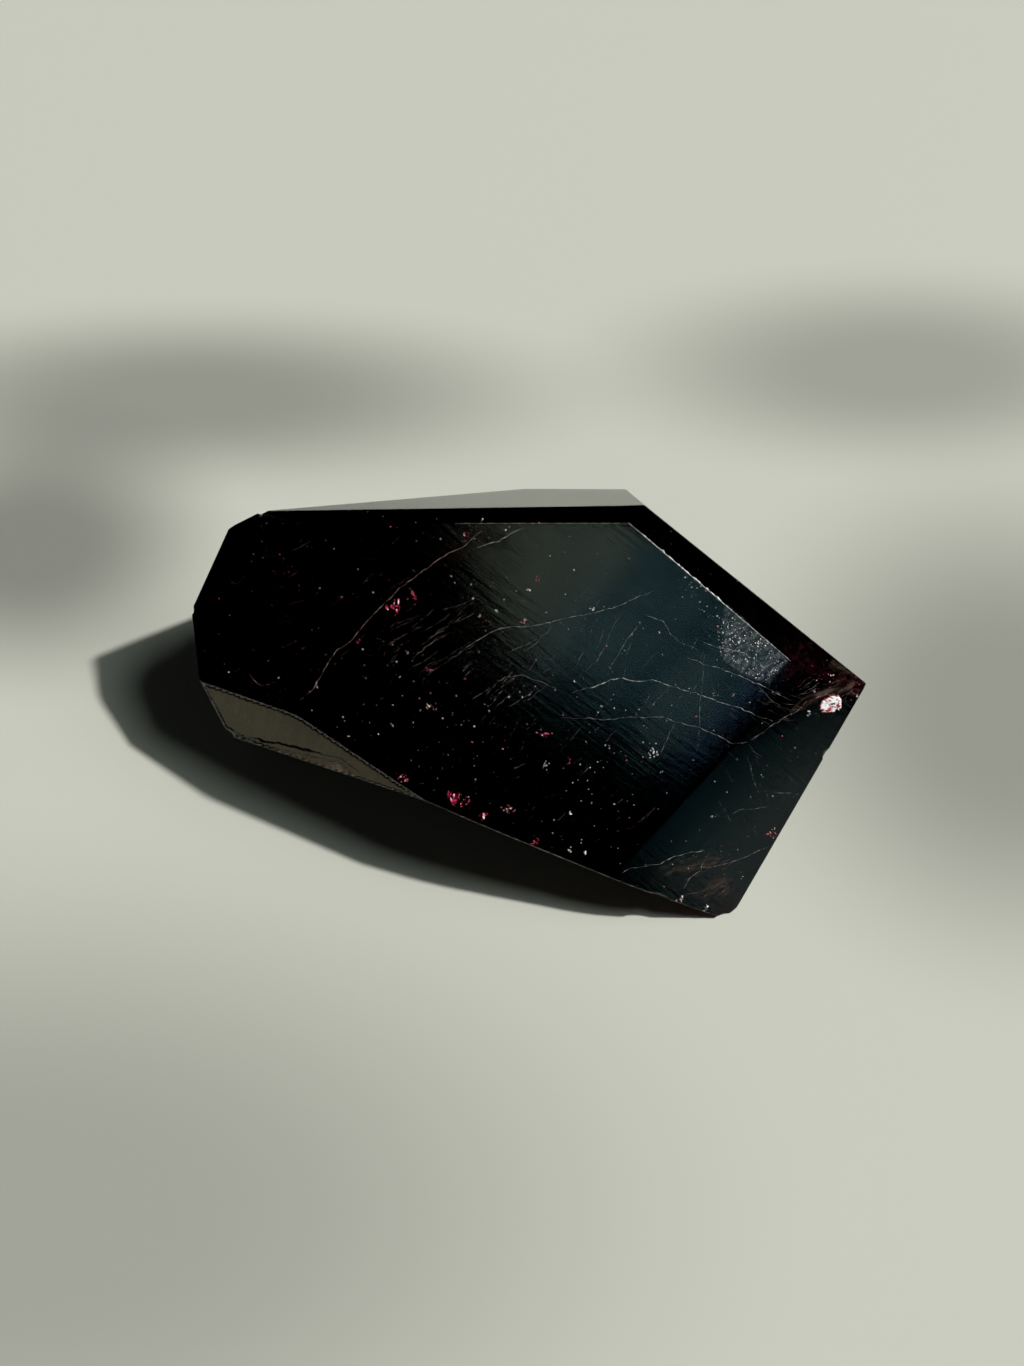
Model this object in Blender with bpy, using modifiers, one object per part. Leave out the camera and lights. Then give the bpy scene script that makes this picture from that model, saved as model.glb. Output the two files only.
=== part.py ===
"""Garnet crystal: one dark stone, ground and polished into flat facets on a natural wedge.

The stone is cut the way a lapidary cuts it. It starts as a block, and every facet is one flat cut, given by
the direction it faces, its tilt from straight up and its distance from the middle of the base. The two ridges
between the broad top facets are ground soft, the front underside is two cuts that meet in a shallow inward
crease, every edge has a fine arris, and the knocks of use are small scoops.

The stone lies on its flat base at Z = 0, thick end towards -X, thin tip towards +X, its front towards -Y.
"""

import math
from typing import NamedTuple

import bmesh
import bpy
from mathutils import Matrix, Vector

MM = 0.001

NODE_NAME = "garnet_crystal"
MERGE_DISTANCE = 0.002 * MM

# The stone's length, which the block that it is cut from is sized by
STONE_LENGTH = 66.5 * MM
BLOCK_SIZE = 2.0 * STONE_LENGTH

# How soft the ridges between the top facets are: the width ground off each side, and the steps across it
FRONT_RIDGE_WIDTH = 2.3 * MM
FRONT_RIDGE_STEPS = 8
LEFT_RIDGE_WIDTH = 1.8 * MM
LEFT_RIDGE_STEPS = 4

ARRIS_WIDTH = 0.10 * MM
ARRIS_ANGLE = math.radians(12.0)

GARNET_BLACK_RED = (0.018, 0.003, 0.004, 1.0)
GARNET_ROUGHNESS = 0.06


class Facet(NamedTuple):
    """One flat cut: the way it faces in plan, its tilt from straight up, and its distance from the origin."""

    name: str
    azimuth: float
    tilt: float
    distance: float


# The broad polished facets on top, from the thick left end to the thin right tip
LEFT_TOP = Facet("left top", -134.4, 25.8, 15.79)
MIDDLE_TOP = Facet("middle top", -91.2, 12.8, 8.96)
TOP = Facet("top", -55.8, 10.6, 7.28)
RIGHT_TOP = Facet("right top", -48.0, 20.3, 10.91)

# The two narrow bevels along the back ridge and the upper right edge
BACK_BEVEL = Facet("back bevel", -9.9, 5.5, 9.33)
RIGHT_BEVEL = Facet("right bevel", -4.0, 13.0, 10.46)

# The sides, clockwise from the front left
FRONT_LEFT = Facet("front left", -121.2, 65.2, 19.39)
LEFT_END_LOWER = Facet("left end lower", 175.5, 127.6, 21.81)
LEFT_END_UPPER = Facet("left end upper", 148.9, 101.0, 28.88)
LEFT_CORNER = Facet("left corner", 118.4, 92.8, 24.1)
BACK_LEFT = Facet("back left", 114.2, 90.0, 23.49)
BACK_SLOPE = Facet("back slope", 89.6, 43.1, 18.16)
BACK_FOOT = Facet("back foot", 90.0, 97.0, 25.32)
BACK_RIGHT = Facet("back right", 43.5, 59.3, 21.91)
RIGHT_UNDER = Facet("right under", -24.7, 127.9, 22.2)
BASE = Facet("base", 0.0, 180.0, 0.0)

# The two cuts under the front: the stone keeps whatever lies inside either one
FRONT_UNDER = Facet("front under", -119.0, 133.5, 9.89)
FRONT_LEFT_UNDER = Facet("front left under", -108.6, 131.7, 10.14)

OUTER_FACETS = (
    LEFT_TOP,
    MIDDLE_TOP,
    TOP,
    RIGHT_TOP,
    BACK_BEVEL,
    RIGHT_BEVEL,
    FRONT_LEFT,
    LEFT_END_LOWER,
    LEFT_END_UPPER,
    LEFT_CORNER,
    BACK_LEFT,
    BACK_SLOPE,
    BACK_FOOT,
    BACK_RIGHT,
    RIGHT_UNDER,
    BASE,
)


class Chip(NamedTuple):
    """One knock on an edge: a shallow scoop by a flattened ball, all in millimetres and degrees."""

    name: str
    place: tuple
    radii: tuple
    turn: tuple


CHIPS = (
    Chip("left edge notch", (-33.48, 4.69, 7.9), (0.55, 0.50, 0.45), (20, 0, 30)),
    Chip("front left corner break", (-29.78, -6.11, 1.5), (1.9, 1.0, 1.0), (0, 25, 35)),
    Chip("front left corner flake", (-27.63, -7.71, 1.75), (1.3, 0.6, 0.7), (10, 10, -25)),
    Chip("front tip break", (18.67, -25.91, 0.0), (1.3, 0.8, 1.0), (0, 0, 10)),
    Chip("front tip flake", (20.07, -25.31, 0.3), (1.0, 0.7, 0.6), (0, 20, 50)),
    Chip("front edge flake", (12.57, -24.71, 1.9), (1.5, 0.5, 0.6), (0, 0, -22)),
    Chip("front edge nick", (3.47, -22.16, 3.9), (0.9, 0.4, 0.4), (0, 0, -22)),
    Chip("right edge nick", (29.02, -8.51, 2.2), (0.75, 0.45, 0.5), (0, 0, 60)),
    Chip("right tip flake", (33.72, -0.11, 2.9), (0.6, 0.5, 0.6), (0, 0, 20)),
    Chip("back ridge nick", (-23.03, 14.39, 12.05), (0.7, 0.35, 0.4), (0, 0, 0)),
    Chip("back ridge pit, left", (-7.03, 17.59, 9.15), (0.42, 0.42, 0.55), (0, 0, 0)),
    Chip("back ridge pit, right", (-5.93, 17.59, 9.1), (0.36, 0.40, 0.5), (0, 0, 0)),
    Chip("top corner flake", (-26.13, 13.69, 12.2), (0.9, 0.5, 0.5), (0, 0, 25)),
    Chip("back left foot break", (-12.03, 20.99, 0.0), (2.4, 1.0, 1.6), (0, 0, 24)),
)
CHIP_DETAIL = 2


def clear_scene():
    """Remove every object, so that the script gives the same model wherever it is run."""
    for old_object in list(bpy.data.objects):
        bpy.data.objects.remove(old_object, do_unlink=True)


def new_collection(name):
    collection = bpy.data.collections.new(name)
    bpy.context.scene.collection.children.link(collection)
    return collection


def facet_normal(facet):
    """The way a facet faces, as a unit vector."""
    azimuth = math.radians(facet.azimuth)
    tilt = math.radians(facet.tilt)
    return Vector(
        (
            math.sin(tilt) * math.cos(azimuth),
            math.sin(tilt) * math.sin(azimuth),
            math.cos(tilt),
        )
    )


def cut_facet(mesh, facet, keep_inside=True):
    """Cut the solid with a facet's plane, drop one side of it and close the cut with a flat face."""
    normal = facet_normal(facet)
    cut = bmesh.ops.bisect_plane(
        mesh,
        geom=list(mesh.verts) + list(mesh.edges) + list(mesh.faces),
        dist=MERGE_DISTANCE,
        plane_co=normal * facet.distance * MM,
        plane_no=normal,
        clear_outer=keep_inside,
        clear_inner=not keep_inside,
    )
    rim = [item for item in cut["geom_cut"] if isinstance(item, bmesh.types.BMEdge)]
    if rim:
        bmesh.ops.edgeloop_fill(mesh, edges=rim)


def facet_block(facets, keep_inside=True):
    """A block with every listed facet cut on it, as a closed mesh."""
    mesh = bmesh.new()
    bmesh.ops.create_cube(mesh, size=BLOCK_SIZE)
    for facet in facets:
        cut_facet(mesh, facet, keep_inside)
    bmesh.ops.remove_doubles(mesh, verts=mesh.verts, dist=MERGE_DISTANCE)
    bmesh.ops.recalc_face_normals(mesh, faces=mesh.faces)
    return mesh


def edge_between(mesh, first, second):
    """The edge where two facets meet."""
    normals = (facet_normal(first), facet_normal(second))
    for edge in mesh.edges:
        sides = [face.normal for face in edge.link_faces]
        if len(sides) != 2:
            continue
        straight = min(sides[0].dot(normals[0]), sides[1].dot(normals[1]))
        swapped = min(sides[0].dot(normals[1]), sides[1].dot(normals[0]))
        if max(straight, swapped) > 0.9999:
            return edge
    raise RuntimeError("the " + first.name + " and " + second.name + " facets do not meet")


def soften_ridge(mesh, first, second, width, steps):
    """Grind the ridge between two facets into a soft curve."""
    bmesh.ops.bevel(
        mesh,
        geom=[edge_between(mesh, first, second)],
        offset=width,
        offset_type="OFFSET",
        segments=steps,
        profile=0.5,
        affect="EDGES",
        clamp_overlap=True,
    )
    mesh.normal_update()


def object_from(mesh, name, collection):
    """Turn a working mesh into a named object."""
    data = bpy.data.meshes.new(name)
    mesh.to_mesh(data)
    mesh.free()
    new_object = bpy.data.objects.new(name, data)
    collection.objects.link(new_object)
    return new_object


def mark_as_cutter(cutter):
    cutter.hide_render = True
    cutter.display_type = "WIRE"
    return cutter


def cut_with(solid, cutter, name):
    """Take a cutter's shape out of a solid, and leave the modifier live."""
    boolean = solid.modifiers.new(name, "BOOLEAN")
    boolean.operation = "DIFFERENCE"
    boolean.solver = "EXACT"
    boolean.object = cutter


def make_under_wedge(collection):
    """The waste under the front, outside both of the front underside's cuts."""
    wedge = facet_block((FRONT_UNDER, FRONT_LEFT_UNDER), keep_inside=False)
    return mark_as_cutter(object_from(wedge, "cutter front underside", collection))


def make_chip(chip, collection):
    """One flattened ball that knocks a scoop out of an edge."""
    ball = bmesh.new()
    bmesh.ops.create_icosphere(ball, subdivisions=CHIP_DETAIL, radius=1.0)
    turn = Matrix.Identity(4)
    for axis, degrees in zip("XYZ", chip.turn):
        turn = Matrix.Rotation(math.radians(degrees), 4, axis) @ turn
    size = Matrix.Diagonal(Vector(chip.radii) * MM).to_4x4()
    place = Matrix.Translation(Vector(chip.place) * MM)
    bmesh.ops.transform(ball, matrix=place @ turn @ size, verts=ball.verts)
    return mark_as_cutter(object_from(ball, "cutter " + chip.name, collection))


def make_garnet_material():
    """Polished garnet, so deep a red that it reads as black."""
    material = bpy.data.materials.new("polished garnet")
    material.use_nodes = True
    shader = material.node_tree.nodes["Principled BSDF"]
    shader.inputs["Base Color"].default_value = GARNET_BLACK_RED
    shader.inputs["Roughness"].default_value = GARNET_ROUGHNESS
    shader.inputs["Metallic"].default_value = 0.0
    material.diffuse_color = GARNET_BLACK_RED
    return material


def make_stone(collection, cutters):
    """The stone itself: block, facets, soft ridges, front underside, arrises, chips."""
    mesh = facet_block(OUTER_FACETS)
    soften_ridge(mesh, TOP, RIGHT_TOP, FRONT_RIDGE_WIDTH, FRONT_RIDGE_STEPS)
    soften_ridge(mesh, LEFT_TOP, MIDDLE_TOP, LEFT_RIDGE_WIDTH, LEFT_RIDGE_STEPS)
    soften_ridge(mesh, MIDDLE_TOP, TOP, LEFT_RIDGE_WIDTH, LEFT_RIDGE_STEPS)
    stone = object_from(mesh, NODE_NAME, collection)
    stone.data.materials.append(make_garnet_material())

    cut_with(stone, make_under_wedge(cutters), "front underside")

    arris = stone.modifiers.new("arris", "BEVEL")
    arris.width = ARRIS_WIDTH
    arris.segments = 1
    arris.limit_method = "ANGLE"
    arris.angle_limit = ARRIS_ANGLE
    arris.use_clamp_overlap = True

    for chip in CHIPS:
        cut_with(stone, make_chip(chip, cutters), chip.name)
    return stone


def main():
    clear_scene()
    collection = new_collection("garnet crystal")
    cutters = new_collection("cutters")
    make_stone(collection, cutters)


main()
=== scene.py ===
import math
import random
from typing import NamedTuple

import bmesh
import bpy
from bpy.props import FloatProperty, FloatVectorProperty, IntProperty, PointerProperty
from mathutils import Matrix, Vector
from mathutils.bvhtree import BVHTree
from mathutils.geometry import intersect_point_line


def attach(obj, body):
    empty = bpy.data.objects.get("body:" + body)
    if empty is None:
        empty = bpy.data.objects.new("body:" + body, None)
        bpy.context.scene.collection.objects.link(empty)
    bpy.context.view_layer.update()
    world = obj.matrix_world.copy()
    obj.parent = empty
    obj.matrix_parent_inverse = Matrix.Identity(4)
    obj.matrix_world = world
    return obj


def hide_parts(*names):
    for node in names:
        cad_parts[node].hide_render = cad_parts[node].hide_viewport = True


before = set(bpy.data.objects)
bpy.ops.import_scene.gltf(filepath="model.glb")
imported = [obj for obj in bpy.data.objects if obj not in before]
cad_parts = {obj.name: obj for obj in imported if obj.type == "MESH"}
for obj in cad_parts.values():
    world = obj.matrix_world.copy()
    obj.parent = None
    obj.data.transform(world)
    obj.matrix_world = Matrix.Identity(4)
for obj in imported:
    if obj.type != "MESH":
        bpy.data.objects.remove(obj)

bl_info = {
    "name": "Garnet crystal",
    "version": (1, 0, 0),
    "blender": (4, 5, 0),
    "location": "3D View > Sidebar > Garnet",
    "description": "Finishes a polished garnet: its stone, edges, veins, fractures and the light on it",
    "category": "Object",
}

MM = 0.001
NODE = "garnet_crystal"
BODY = "root"

# The photograph's frame and the camera that took it
PHOTO_WIDTH = 1024
PHOTO_HEIGHT = 1366
LENS = 80.0
SENSOR = 36.0
CAMERA_TILT = math.radians(55.0)
CAMERA_DISTANCE = 303.56 * MM
CAMERA_TARGET = Vector((-1.725, 1.51, 0.0)) * MM
PIXEL = SENSOR / LENS / PHOTO_HEIGHT

# The sun: how far a shadow falls for each unit of height, and how wide the sun looks
SHADOW_REACH = Vector((-1.221, -0.640, -1.0))
SUN_WIDTH = math.radians(3.0)
GLOW_WIDTH = math.radians(33.0)
GLOW_SHARE = 0.27

# A photograph pixel in the middle of each facet that other values are worked out from
TOP_SPOT = (640, 640)
RIGHT_TOP_SPOT = (775, 815)
BACK_BEVEL_SPOT = (400, 517)
RIGHT_BEVEL_SPOT = (760, 600)
FRONT_SPOT = (280, 725)

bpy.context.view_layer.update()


def camera_axes():
    """Where the camera stands and its three axes: forward, right and up."""
    forward = Vector((0.0, math.cos(CAMERA_TILT), -math.sin(CAMERA_TILT)))
    right = Vector((1.0, 0.0, 0.0))
    return CAMERA_TARGET - forward * CAMERA_DISTANCE, forward, right, right.cross(forward)


def photo_ray(pixel):
    """The way the camera looks through a pixel of the photograph."""
    _, forward, right, up = camera_axes()
    across = (pixel[0] - PHOTO_WIDTH / 2) * PIXEL
    down = (pixel[1] - PHOTO_HEIGHT / 2) * PIXEL
    return (forward + right * across - up * down).normalized()


def stone_tree():
    """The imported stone, ready for rays."""
    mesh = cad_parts[NODE].data
    corners = [vertex.co for vertex in mesh.vertices]
    return BVHTree.FromPolygons(corners, [tuple(face.vertices) for face in mesh.polygons])


STONE = stone_tree()


def seen_on_stone(pixel):
    """The stone's surface point and normal at a pixel, or None where the pixel misses the stone."""
    place, normal, _, _ = STONE.ray_cast(camera_axes()[0], photo_ray(pixel))
    return None if place is None else (place, normal)


def on_stone(pixel):
    """The stone's surface point and normal at a pixel that lies on it."""
    seen = seen_on_stone(pixel)
    if seen is None:
        raise RuntimeError("pixel " + str(tuple(pixel)) + " misses the stone")
    return seen


def edge_point(pixel, first_spot, second_spot):
    """The point nearest to a pixel on the line where two facets' planes cross."""
    place_a, normal_a = on_stone(first_spot)
    place_b, normal_b = on_stone(second_spot)
    along = normal_a.cross(normal_b).normalized()
    across = normal_a.cross(along)
    crossing = place_a + across * ((place_b - place_a).dot(normal_b) / across.dot(normal_b))
    ray = photo_ray(pixel)
    gap = crossing - camera_axes()[0]
    slant = along.dot(ray)
    return crossing + along * ((gap.dot(ray) * slant - gap.dot(along)) / (1.0 - slant * slant))


def inside(pixel, outline):
    """Whether a pixel lies within an outline."""
    crossings = 0
    for (x0, y0), (x1, y1) in zip(outline, outline[1:] + outline[:1]):
        if (y0 > pixel[1]) != (y1 > pixel[1]) and pixel[0] < x0 + (x1 - x0) * (pixel[1] - y0) / (y1 - y0):
            crossings += 1
    return crossings % 2 == 1


def rim_distance(pixel, outline):
    """How far a pixel lies from an outline's nearest side."""
    point = Vector((*pixel, 0.0))
    nearest = []
    for start, end in zip(outline, outline[1:] + outline[:1]):
        foot, share = intersect_point_line(point, Vector((*start, 0.0)), Vector((*end, 0.0)))
        if not 0.0 <= share <= 1.0:
            foot = Vector((*(start if share < 0.0 else end), 0.0))
        nearest.append((foot - point).length)
    return min(nearest)


class Wire:
    """A node tree's socket that Python's operators work on; each operator adds its Math node."""

    def __init__(self, tree, socket=None):
        self.tree = tree
        self.socket = socket

    def node(self, kind, settings=None, inputs=None, output=0):
        """Add a node: its settings first, then its sockets' values or links. Gives one of its outputs."""
        new = self.tree.nodes.new(kind)
        for name, value in (settings or {}).items():
            if name == "stops":
                set_stops(new.color_ramp, value)
            else:
                setattr(new, name, value)
        for key, value in (inputs or {}).items():
            if isinstance(value, Wire):
                self.tree.links.new(value.socket, new.inputs[key])
            else:
                new.inputs[key].default_value = value
        return Wire(self.tree, new.outputs[output] if len(new.outputs) else None)

    def math(self, operation, *values):
        return self.node("ShaderNodeMath", {"operation": operation}, dict(enumerate(values)))

    def __add__(self, other):
        return self.math("ADD", self, other)

    __radd__ = __add__

    def __mul__(self, other):
        return self.math("MULTIPLY", self, other)

    __rmul__ = __mul__

    def __sub__(self, other):
        return self.math("SUBTRACT", self, other)

    def __rsub__(self, other):
        return self.math("SUBTRACT", other, self)

    def __pow__(self, other):
        return self.math("POWER", self, other)

    def step(self, low, high):
        """A smooth step from 0 at low to 1 at high, which may also run downwards."""
        rise = self.node(
            "ShaderNodeMapRange",
            {"interpolation_type": "SMOOTHSTEP"},
            {"Value": self, "From Min": min(low, high), "From Max": max(low, high)},
        )
        return 1.0 - rise if low > high else rise

    def mix(self, low, high):
        """A colour between two others, by this wire as the factor."""
        return self.node(
            "ShaderNodeMix",
            {"data_type": "RGBA", "clamp_factor": True},
            {"Factor": self, 6: low, 7: high},
            output=2,
        )

    def ramp(self, *stops):
        """A colour from stops: pairs of a place and a colour."""
        return self.node("ShaderNodeValToRGB", {"stops": stops}, {0: self})


def set_stops(ramp, stops):
    """Give a colour ramp its stops: pairs of a place and a colour."""
    while len(ramp.elements) > 1:
        ramp.elements.remove(ramp.elements[-1])
    ramp.elements[0].position, ramp.elements[0].color = stops[0]
    for place, colour in stops[1:]:
        ramp.elements.new(place).color = colour


# Materials

GARNET_IOR = 1.77
MINERAL_IOR = 1.7
FRONT_IOR = 1.62
SHADOW_WINDOW = (0.12, 0.10, 0.095, 1.0)

# How fine each pattern is, in repeats to the metre
SWIRL_SCALE = 110.0
HAZE_SCALE = 160.0
FRONT_PATCH_SCALE = 260.0
VEIL_PATCH_SCALE = 700.0
RAINBOW_SCALE = 1300.0
RAINBOW_GAP_SCALE = 1500.0
RAINBOW_FOLD_SCALE = 1800.0
RIPPLE_SCALE = 2400.0
GRAIN_SCALE = 3500.0

# The marks left by polishing and by grinding: the way they run, their size in metres, and their depth
POLISH_TURN = (0.0, 0.0, 2.5)
POLISH_SIZE = (0.004, 0.0005, 0.002)
POLISH_HEIGHT = 0.02 * MM
GRIND_TURN = (0.0, 0.0, 0.9)
GRIND_SIZE = (0.0035, 0.0010, 0.003)
FOLD_HEIGHT = 0.05 * MM

# The front facet's colours and its yellow tint paint the warm brown reflection on it
FRONT_DARK = (0.014, 0.006, 0.004, 1.0)
FRONT_BROWN = (0.060, 0.032, 0.022, 1.0)
FRONT_REFLECTION_TINT = (1.0, 0.94, 0.68, 1.0)
CRACK_BLACK = (0.002, 0.001, 0.001, 1.0)

# What shows in the stone, from crimson flakes to clean white ones
CRIMSON = (0.80, 0.015, 0.12, 1.0)
ROSE = (0.70, 0.20, 0.25, 1.0)
SAND = (0.62, 0.50, 0.44, 1.0)
PALE = (0.86, 0.88, 0.87, 1.0)


def new_material(name):
    """An empty material, a wire to build on, and its output node."""
    material = bpy.data.materials.new(name)
    material.use_nodes = True
    material.node_tree.nodes.clear()
    output = material.node_tree.nodes.new("ShaderNodeOutputMaterial")
    return material, Wire(material.node_tree), output


def close_material(material, output, shader, volume=None):
    """End a material in its surface, and in what fills it if it has that."""
    material.node_tree.links.new(shader.socket, output.inputs["Surface"])
    if volume:
        material.node_tree.links.new(volume.socket, output.inputs["Volume"])
    return material


def surface(start, inputs):
    return start.node("ShaderNodeBsdfPrincipled", {}, inputs)


def noise(start, place, scale, detail=3.0, roughness=0.55, distortion=0.0):
    look = {"Scale": scale, "Detail": detail, "Roughness": roughness, "Distortion": distortion}
    return start.node("ShaderNodeTexNoise", {"noise_dimensions": "3D"}, {"Vector": place, **look})


def stretched(start, place, turn, size):
    """Object coordinates turned and stretched, so that a pattern of about 1 unit runs in streaks."""
    return start.node(
        "ShaderNodeMapping",
        {"vector_type": "TEXTURE"},
        {"Vector": place, "Rotation": turn, "Scale": size},
    )


def object_place(start):
    return start.node("ShaderNodeTexCoord", output=3)


def attribute(start, name):
    """A number that the piece's points carry."""
    return start.node("ShaderNodeAttribute", {"attribute_name": name}, output=2)


def tone_colour(start):
    """The colour that a piece's points ask for, by their tone from 0, crimson, to 1, white."""
    return attribute(start, "tone").ramp((0.0, CRIMSON), (0.35, ROSE), (0.6, SAND), (1.0, PALE))


def garnet_material(values):
    """Polished garnet: clear, very dense red glass with fine polish marks.

    For the lamps it is a dim window instead, so that their light reaches what lies inside it.
    """
    material, start, output = new_material("polished garnet")
    place = object_place(start)
    streaks = noise(start, stretched(start, place, POLISH_TURN, POLISH_SIZE), 1.0, 4.0)
    ripple = noise(start, place, RIPPLE_SCALE, 2.0)
    swirl = noise(start, place, SWIRL_SCALE, 2.0)
    height = streaks * 0.8 + ripple * 0.2 + swirl * 0.8
    marks = {"Strength": values.polish_depth, "Distance": POLISH_HEIGHT, "Height": height}
    haze = noise(start, place, HAZE_SCALE, 4.0, 0.7).step(0.45, 0.75)
    glass = {
        "Base Color": (*values.garnet_tint, 1.0),
        "Roughness": values.polish_roughness + haze * 0.05,
        "IOR": GARNET_IOR,
        "Transmission Weight": 1.0,
        "Normal": start.node("ShaderNodeBump", {}, marks),
    }
    window = start.node("ShaderNodeBsdfTransparent", {}, {"Color": SHADOW_WINDOW})
    is_shadow = start.node("ShaderNodeLightPath", output=1)
    shader = start.node("ShaderNodeMixShader", {}, {0: is_shadow, 1: surface(start, glass), 2: window})
    depth = {"Color": (*values.absorb_colour, 1.0), "Density": values.absorb_density}
    return close_material(material, output, shader, start.node("ShaderNodeVolumeAbsorption", {}, depth))


def fragment_material(name, roughness, darkest, dim=0.0):
    """Healed cracks and broken flakes: mineral mottled at the scale of its grains, and dimmed if asked."""
    material, start, output = new_material(name)
    grain = noise(start, object_place(start), GRAIN_SCALE, 3.0)
    shares = {
        "Factor": grain.step(0.65, 0.35) * (1.0 - dim) + dim,
        6: tone_colour(start),
        7: (darkest, darkest, darkest, 1.0),
    }
    colour = start.node("ShaderNodeMix", {"data_type": "RGBA", "blend_type": "MULTIPLY"}, shares, output=2)
    mineral = {"Base Color": colour, "Roughness": roughness + grain * 0.15, "IOR": MINERAL_IOR}
    return close_material(material, output, surface(start, mineral))


def veil_material(name, thin, thick, turn, size, cover):
    """A sheet of streaks in two colours that let the stone through between them, for the fractures and for
    the painted glow at the tip.
    """
    material, start, output = new_material(name)
    place = object_place(start)
    streaks = noise(start, stretched(start, place, turn, size), 1.0, 5.0, 0.62, 0.6)
    patches = noise(start, place, VEIL_PATCH_SCALE, 3.0)
    mask = streaks.step(0.42, 0.68) * 0.8 + patches.step(0.5, 0.75) * 0.4
    sheet = {
        "Base Color": mask.mix(thin, thick),
        "Roughness": 0.5,
        "Specular IOR Level": 0.0,
        "Alpha": (mask * (1.0 - cover[0]) + cover[0]) * cover[1] * attribute(start, "fade"),
    }
    return close_material(material, output, surface(start, sheet))


def front_material():
    """The front facet's ground face: less polished than the rest, with a painted brown reflection: its brown
    colours and yellow tint stand in for the warm light that it mirrors.
    """
    material, start, output = new_material("ground front")
    place = object_place(start)
    grain = noise(start, stretched(start, place, GRIND_TURN, GRIND_SIZE), 1.0, 5.0, 0.65)
    patches = noise(start, place, FRONT_PATCH_SCALE, 3.0, 0.6)
    ground = {
        "Base Color": (grain * 0.6 + patches * 0.5).step(0.42, 0.68).mix(FRONT_DARK, FRONT_BROWN),
        "Roughness": patches * 0.12 + 0.04,
        "IOR": FRONT_IOR,
        # painted reflection: a yellow tint on the light that the facet mirrors
        "Specular Tint": FRONT_REFLECTION_TINT,
        "Alpha": attribute(start, "fade"),
    }
    return close_material(material, output, surface(start, ground))


def rainbow_material():
    """A fracture on the surface with a painted glint: white where it catches the sun, with painted pink, red
    and blue of the split light about it.
    """
    material, start, output = new_material("rainbow fracture")
    place = object_place(start)
    fade = attribute(start, "fade")
    hue = noise(start, place, RAINBOW_SCALE, 2.0, 0.5, 1.5) * 1.3 + fade * 0.25 - 0.2
    # painted glint: the white stops stand in for sunlight off the fracture, the colours round them for the
    # split light
    colour = hue.ramp(
        (0.38, (0.04, 0.01, 0.015, 1.0)),
        (0.48, (0.42, 0.03, 0.04, 1.0)),
        (0.58, (0.60, 0.22, 0.25, 1.0)),
        (0.64, (1.0, 1.0, 1.0, 1.0)),
        (0.74, (1.0, 1.0, 1.0, 1.0)),
        (0.79, (0.20, 0.38, 0.50, 1.0)),
        (0.85, (0.03, 0.06, 0.08, 1.0)),
    )
    height = noise(start, place, RAINBOW_FOLD_SCALE, 2.0)
    folds = {"Strength": 0.8, "Distance": FOLD_HEIGHT, "Height": height}
    fracture = {
        "Base Color": colour,
        "Roughness": 0.22,
        "IOR": 1.5,
        "Alpha": (noise(start, place, RAINBOW_GAP_SCALE, 3.0) + fade * 0.3).step(0.50, 0.60),
        "Normal": start.node("ShaderNodeBump", {}, folds),
    }
    return close_material(material, output, surface(start, fracture))


def crack_material():
    """The open crack in the front facet, dark to the bottom."""
    material, start, output = new_material("open crack")
    return close_material(material, output, surface(start, {"Base Color": CRACK_BLACK, "Roughness": 0.8}))


def new_object(name, mesh, *materials):
    made = bpy.data.objects.new(name, mesh)
    bpy.context.scene.collection.objects.link(made)
    for material in materials:
        mesh.materials.append(material)
    return made


def finish_piece(piece, replaced=None):
    """Attach a finished piece to the stone's body, and hide a part that it replaces."""
    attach(piece, BODY)
    if replaced:
        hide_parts(replaced)


def set_point_values(mesh, name, values, kind="FLOAT"):
    """Store a number or a vector on each point of a mesh."""
    store = mesh.attributes.new(name, kind, "POINT").data
    for item, value in zip(store, values):
        if kind == "FLOAT":
            item.value = value
        else:
            item.vector = value


# Shapers: Geometry Nodes trees that make what repeats or follows a line


def new_shaper(name, ways):
    """A Geometry Nodes tree with named ways in. Gives the tree, a wire to build on and the ways' wires."""
    tree = bpy.data.node_groups.new(name, "GeometryNodeTree")
    tree.interface.new_socket("Geometry", in_out="INPUT", socket_type="NodeSocketGeometry")
    for label, kind in ways.items():
        tree.interface.new_socket(label, in_out="INPUT", socket_type=kind)
    tree.interface.new_socket("Geometry", in_out="OUTPUT", socket_type="NodeSocketGeometry")
    sockets = tree.nodes.new("NodeGroupInput").outputs
    return tree, Wire(tree), {socket.name: Wire(tree, socket) for socket in sockets if socket.name}


def close_shaper(tree, start, shape, material=None):
    """End a shaper in real faces, with a material if it has one."""
    real = start.node("GeometryNodeRealizeInstances", {}, {0: shape})
    if material:
        real = start.node("GeometryNodeSetMaterial", {}, {"Geometry": real, "Material": material})
    tree.links.new(real.socket, tree.nodes.new("NodeGroupOutput").inputs[0])
    return tree


def shaped(name, mesh, tree, values):
    """Run a mesh through a shaper and keep the result as a plain mesh object."""
    source = new_object(name + " source", mesh)
    modifier = source.modifiers.new("shaper", "NODES")
    modifier.node_group = tree
    for item in tree.interface.items_tree:
        if item.in_out == "INPUT" and item.name in values:
            modifier[item.identifier] = values[item.name]
    graph = bpy.context.evaluated_depsgraph_get()
    result = bpy.data.meshes.new_from_object(source.evaluated_get(graph))
    bpy.data.objects.remove(source)
    result.name = name
    return new_object(name, result)


def named(start, name, kind="FLOAT"):
    return start.node("GeometryNodeInputNamedAttribute", {"data_type": kind}, {"Name": name})


def chance_vector(start, low, high, seed):
    ends = {0: low, 1: high, "Seed": seed}
    return start.node("FunctionNodeRandomValue", {"data_type": "FLOAT_VECTOR"}, ends)


def chance_number(start, seed):
    return start.node("FunctionNodeRandomValue", {"data_type": "FLOAT"}, {"Seed": seed}, output=1)


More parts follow.
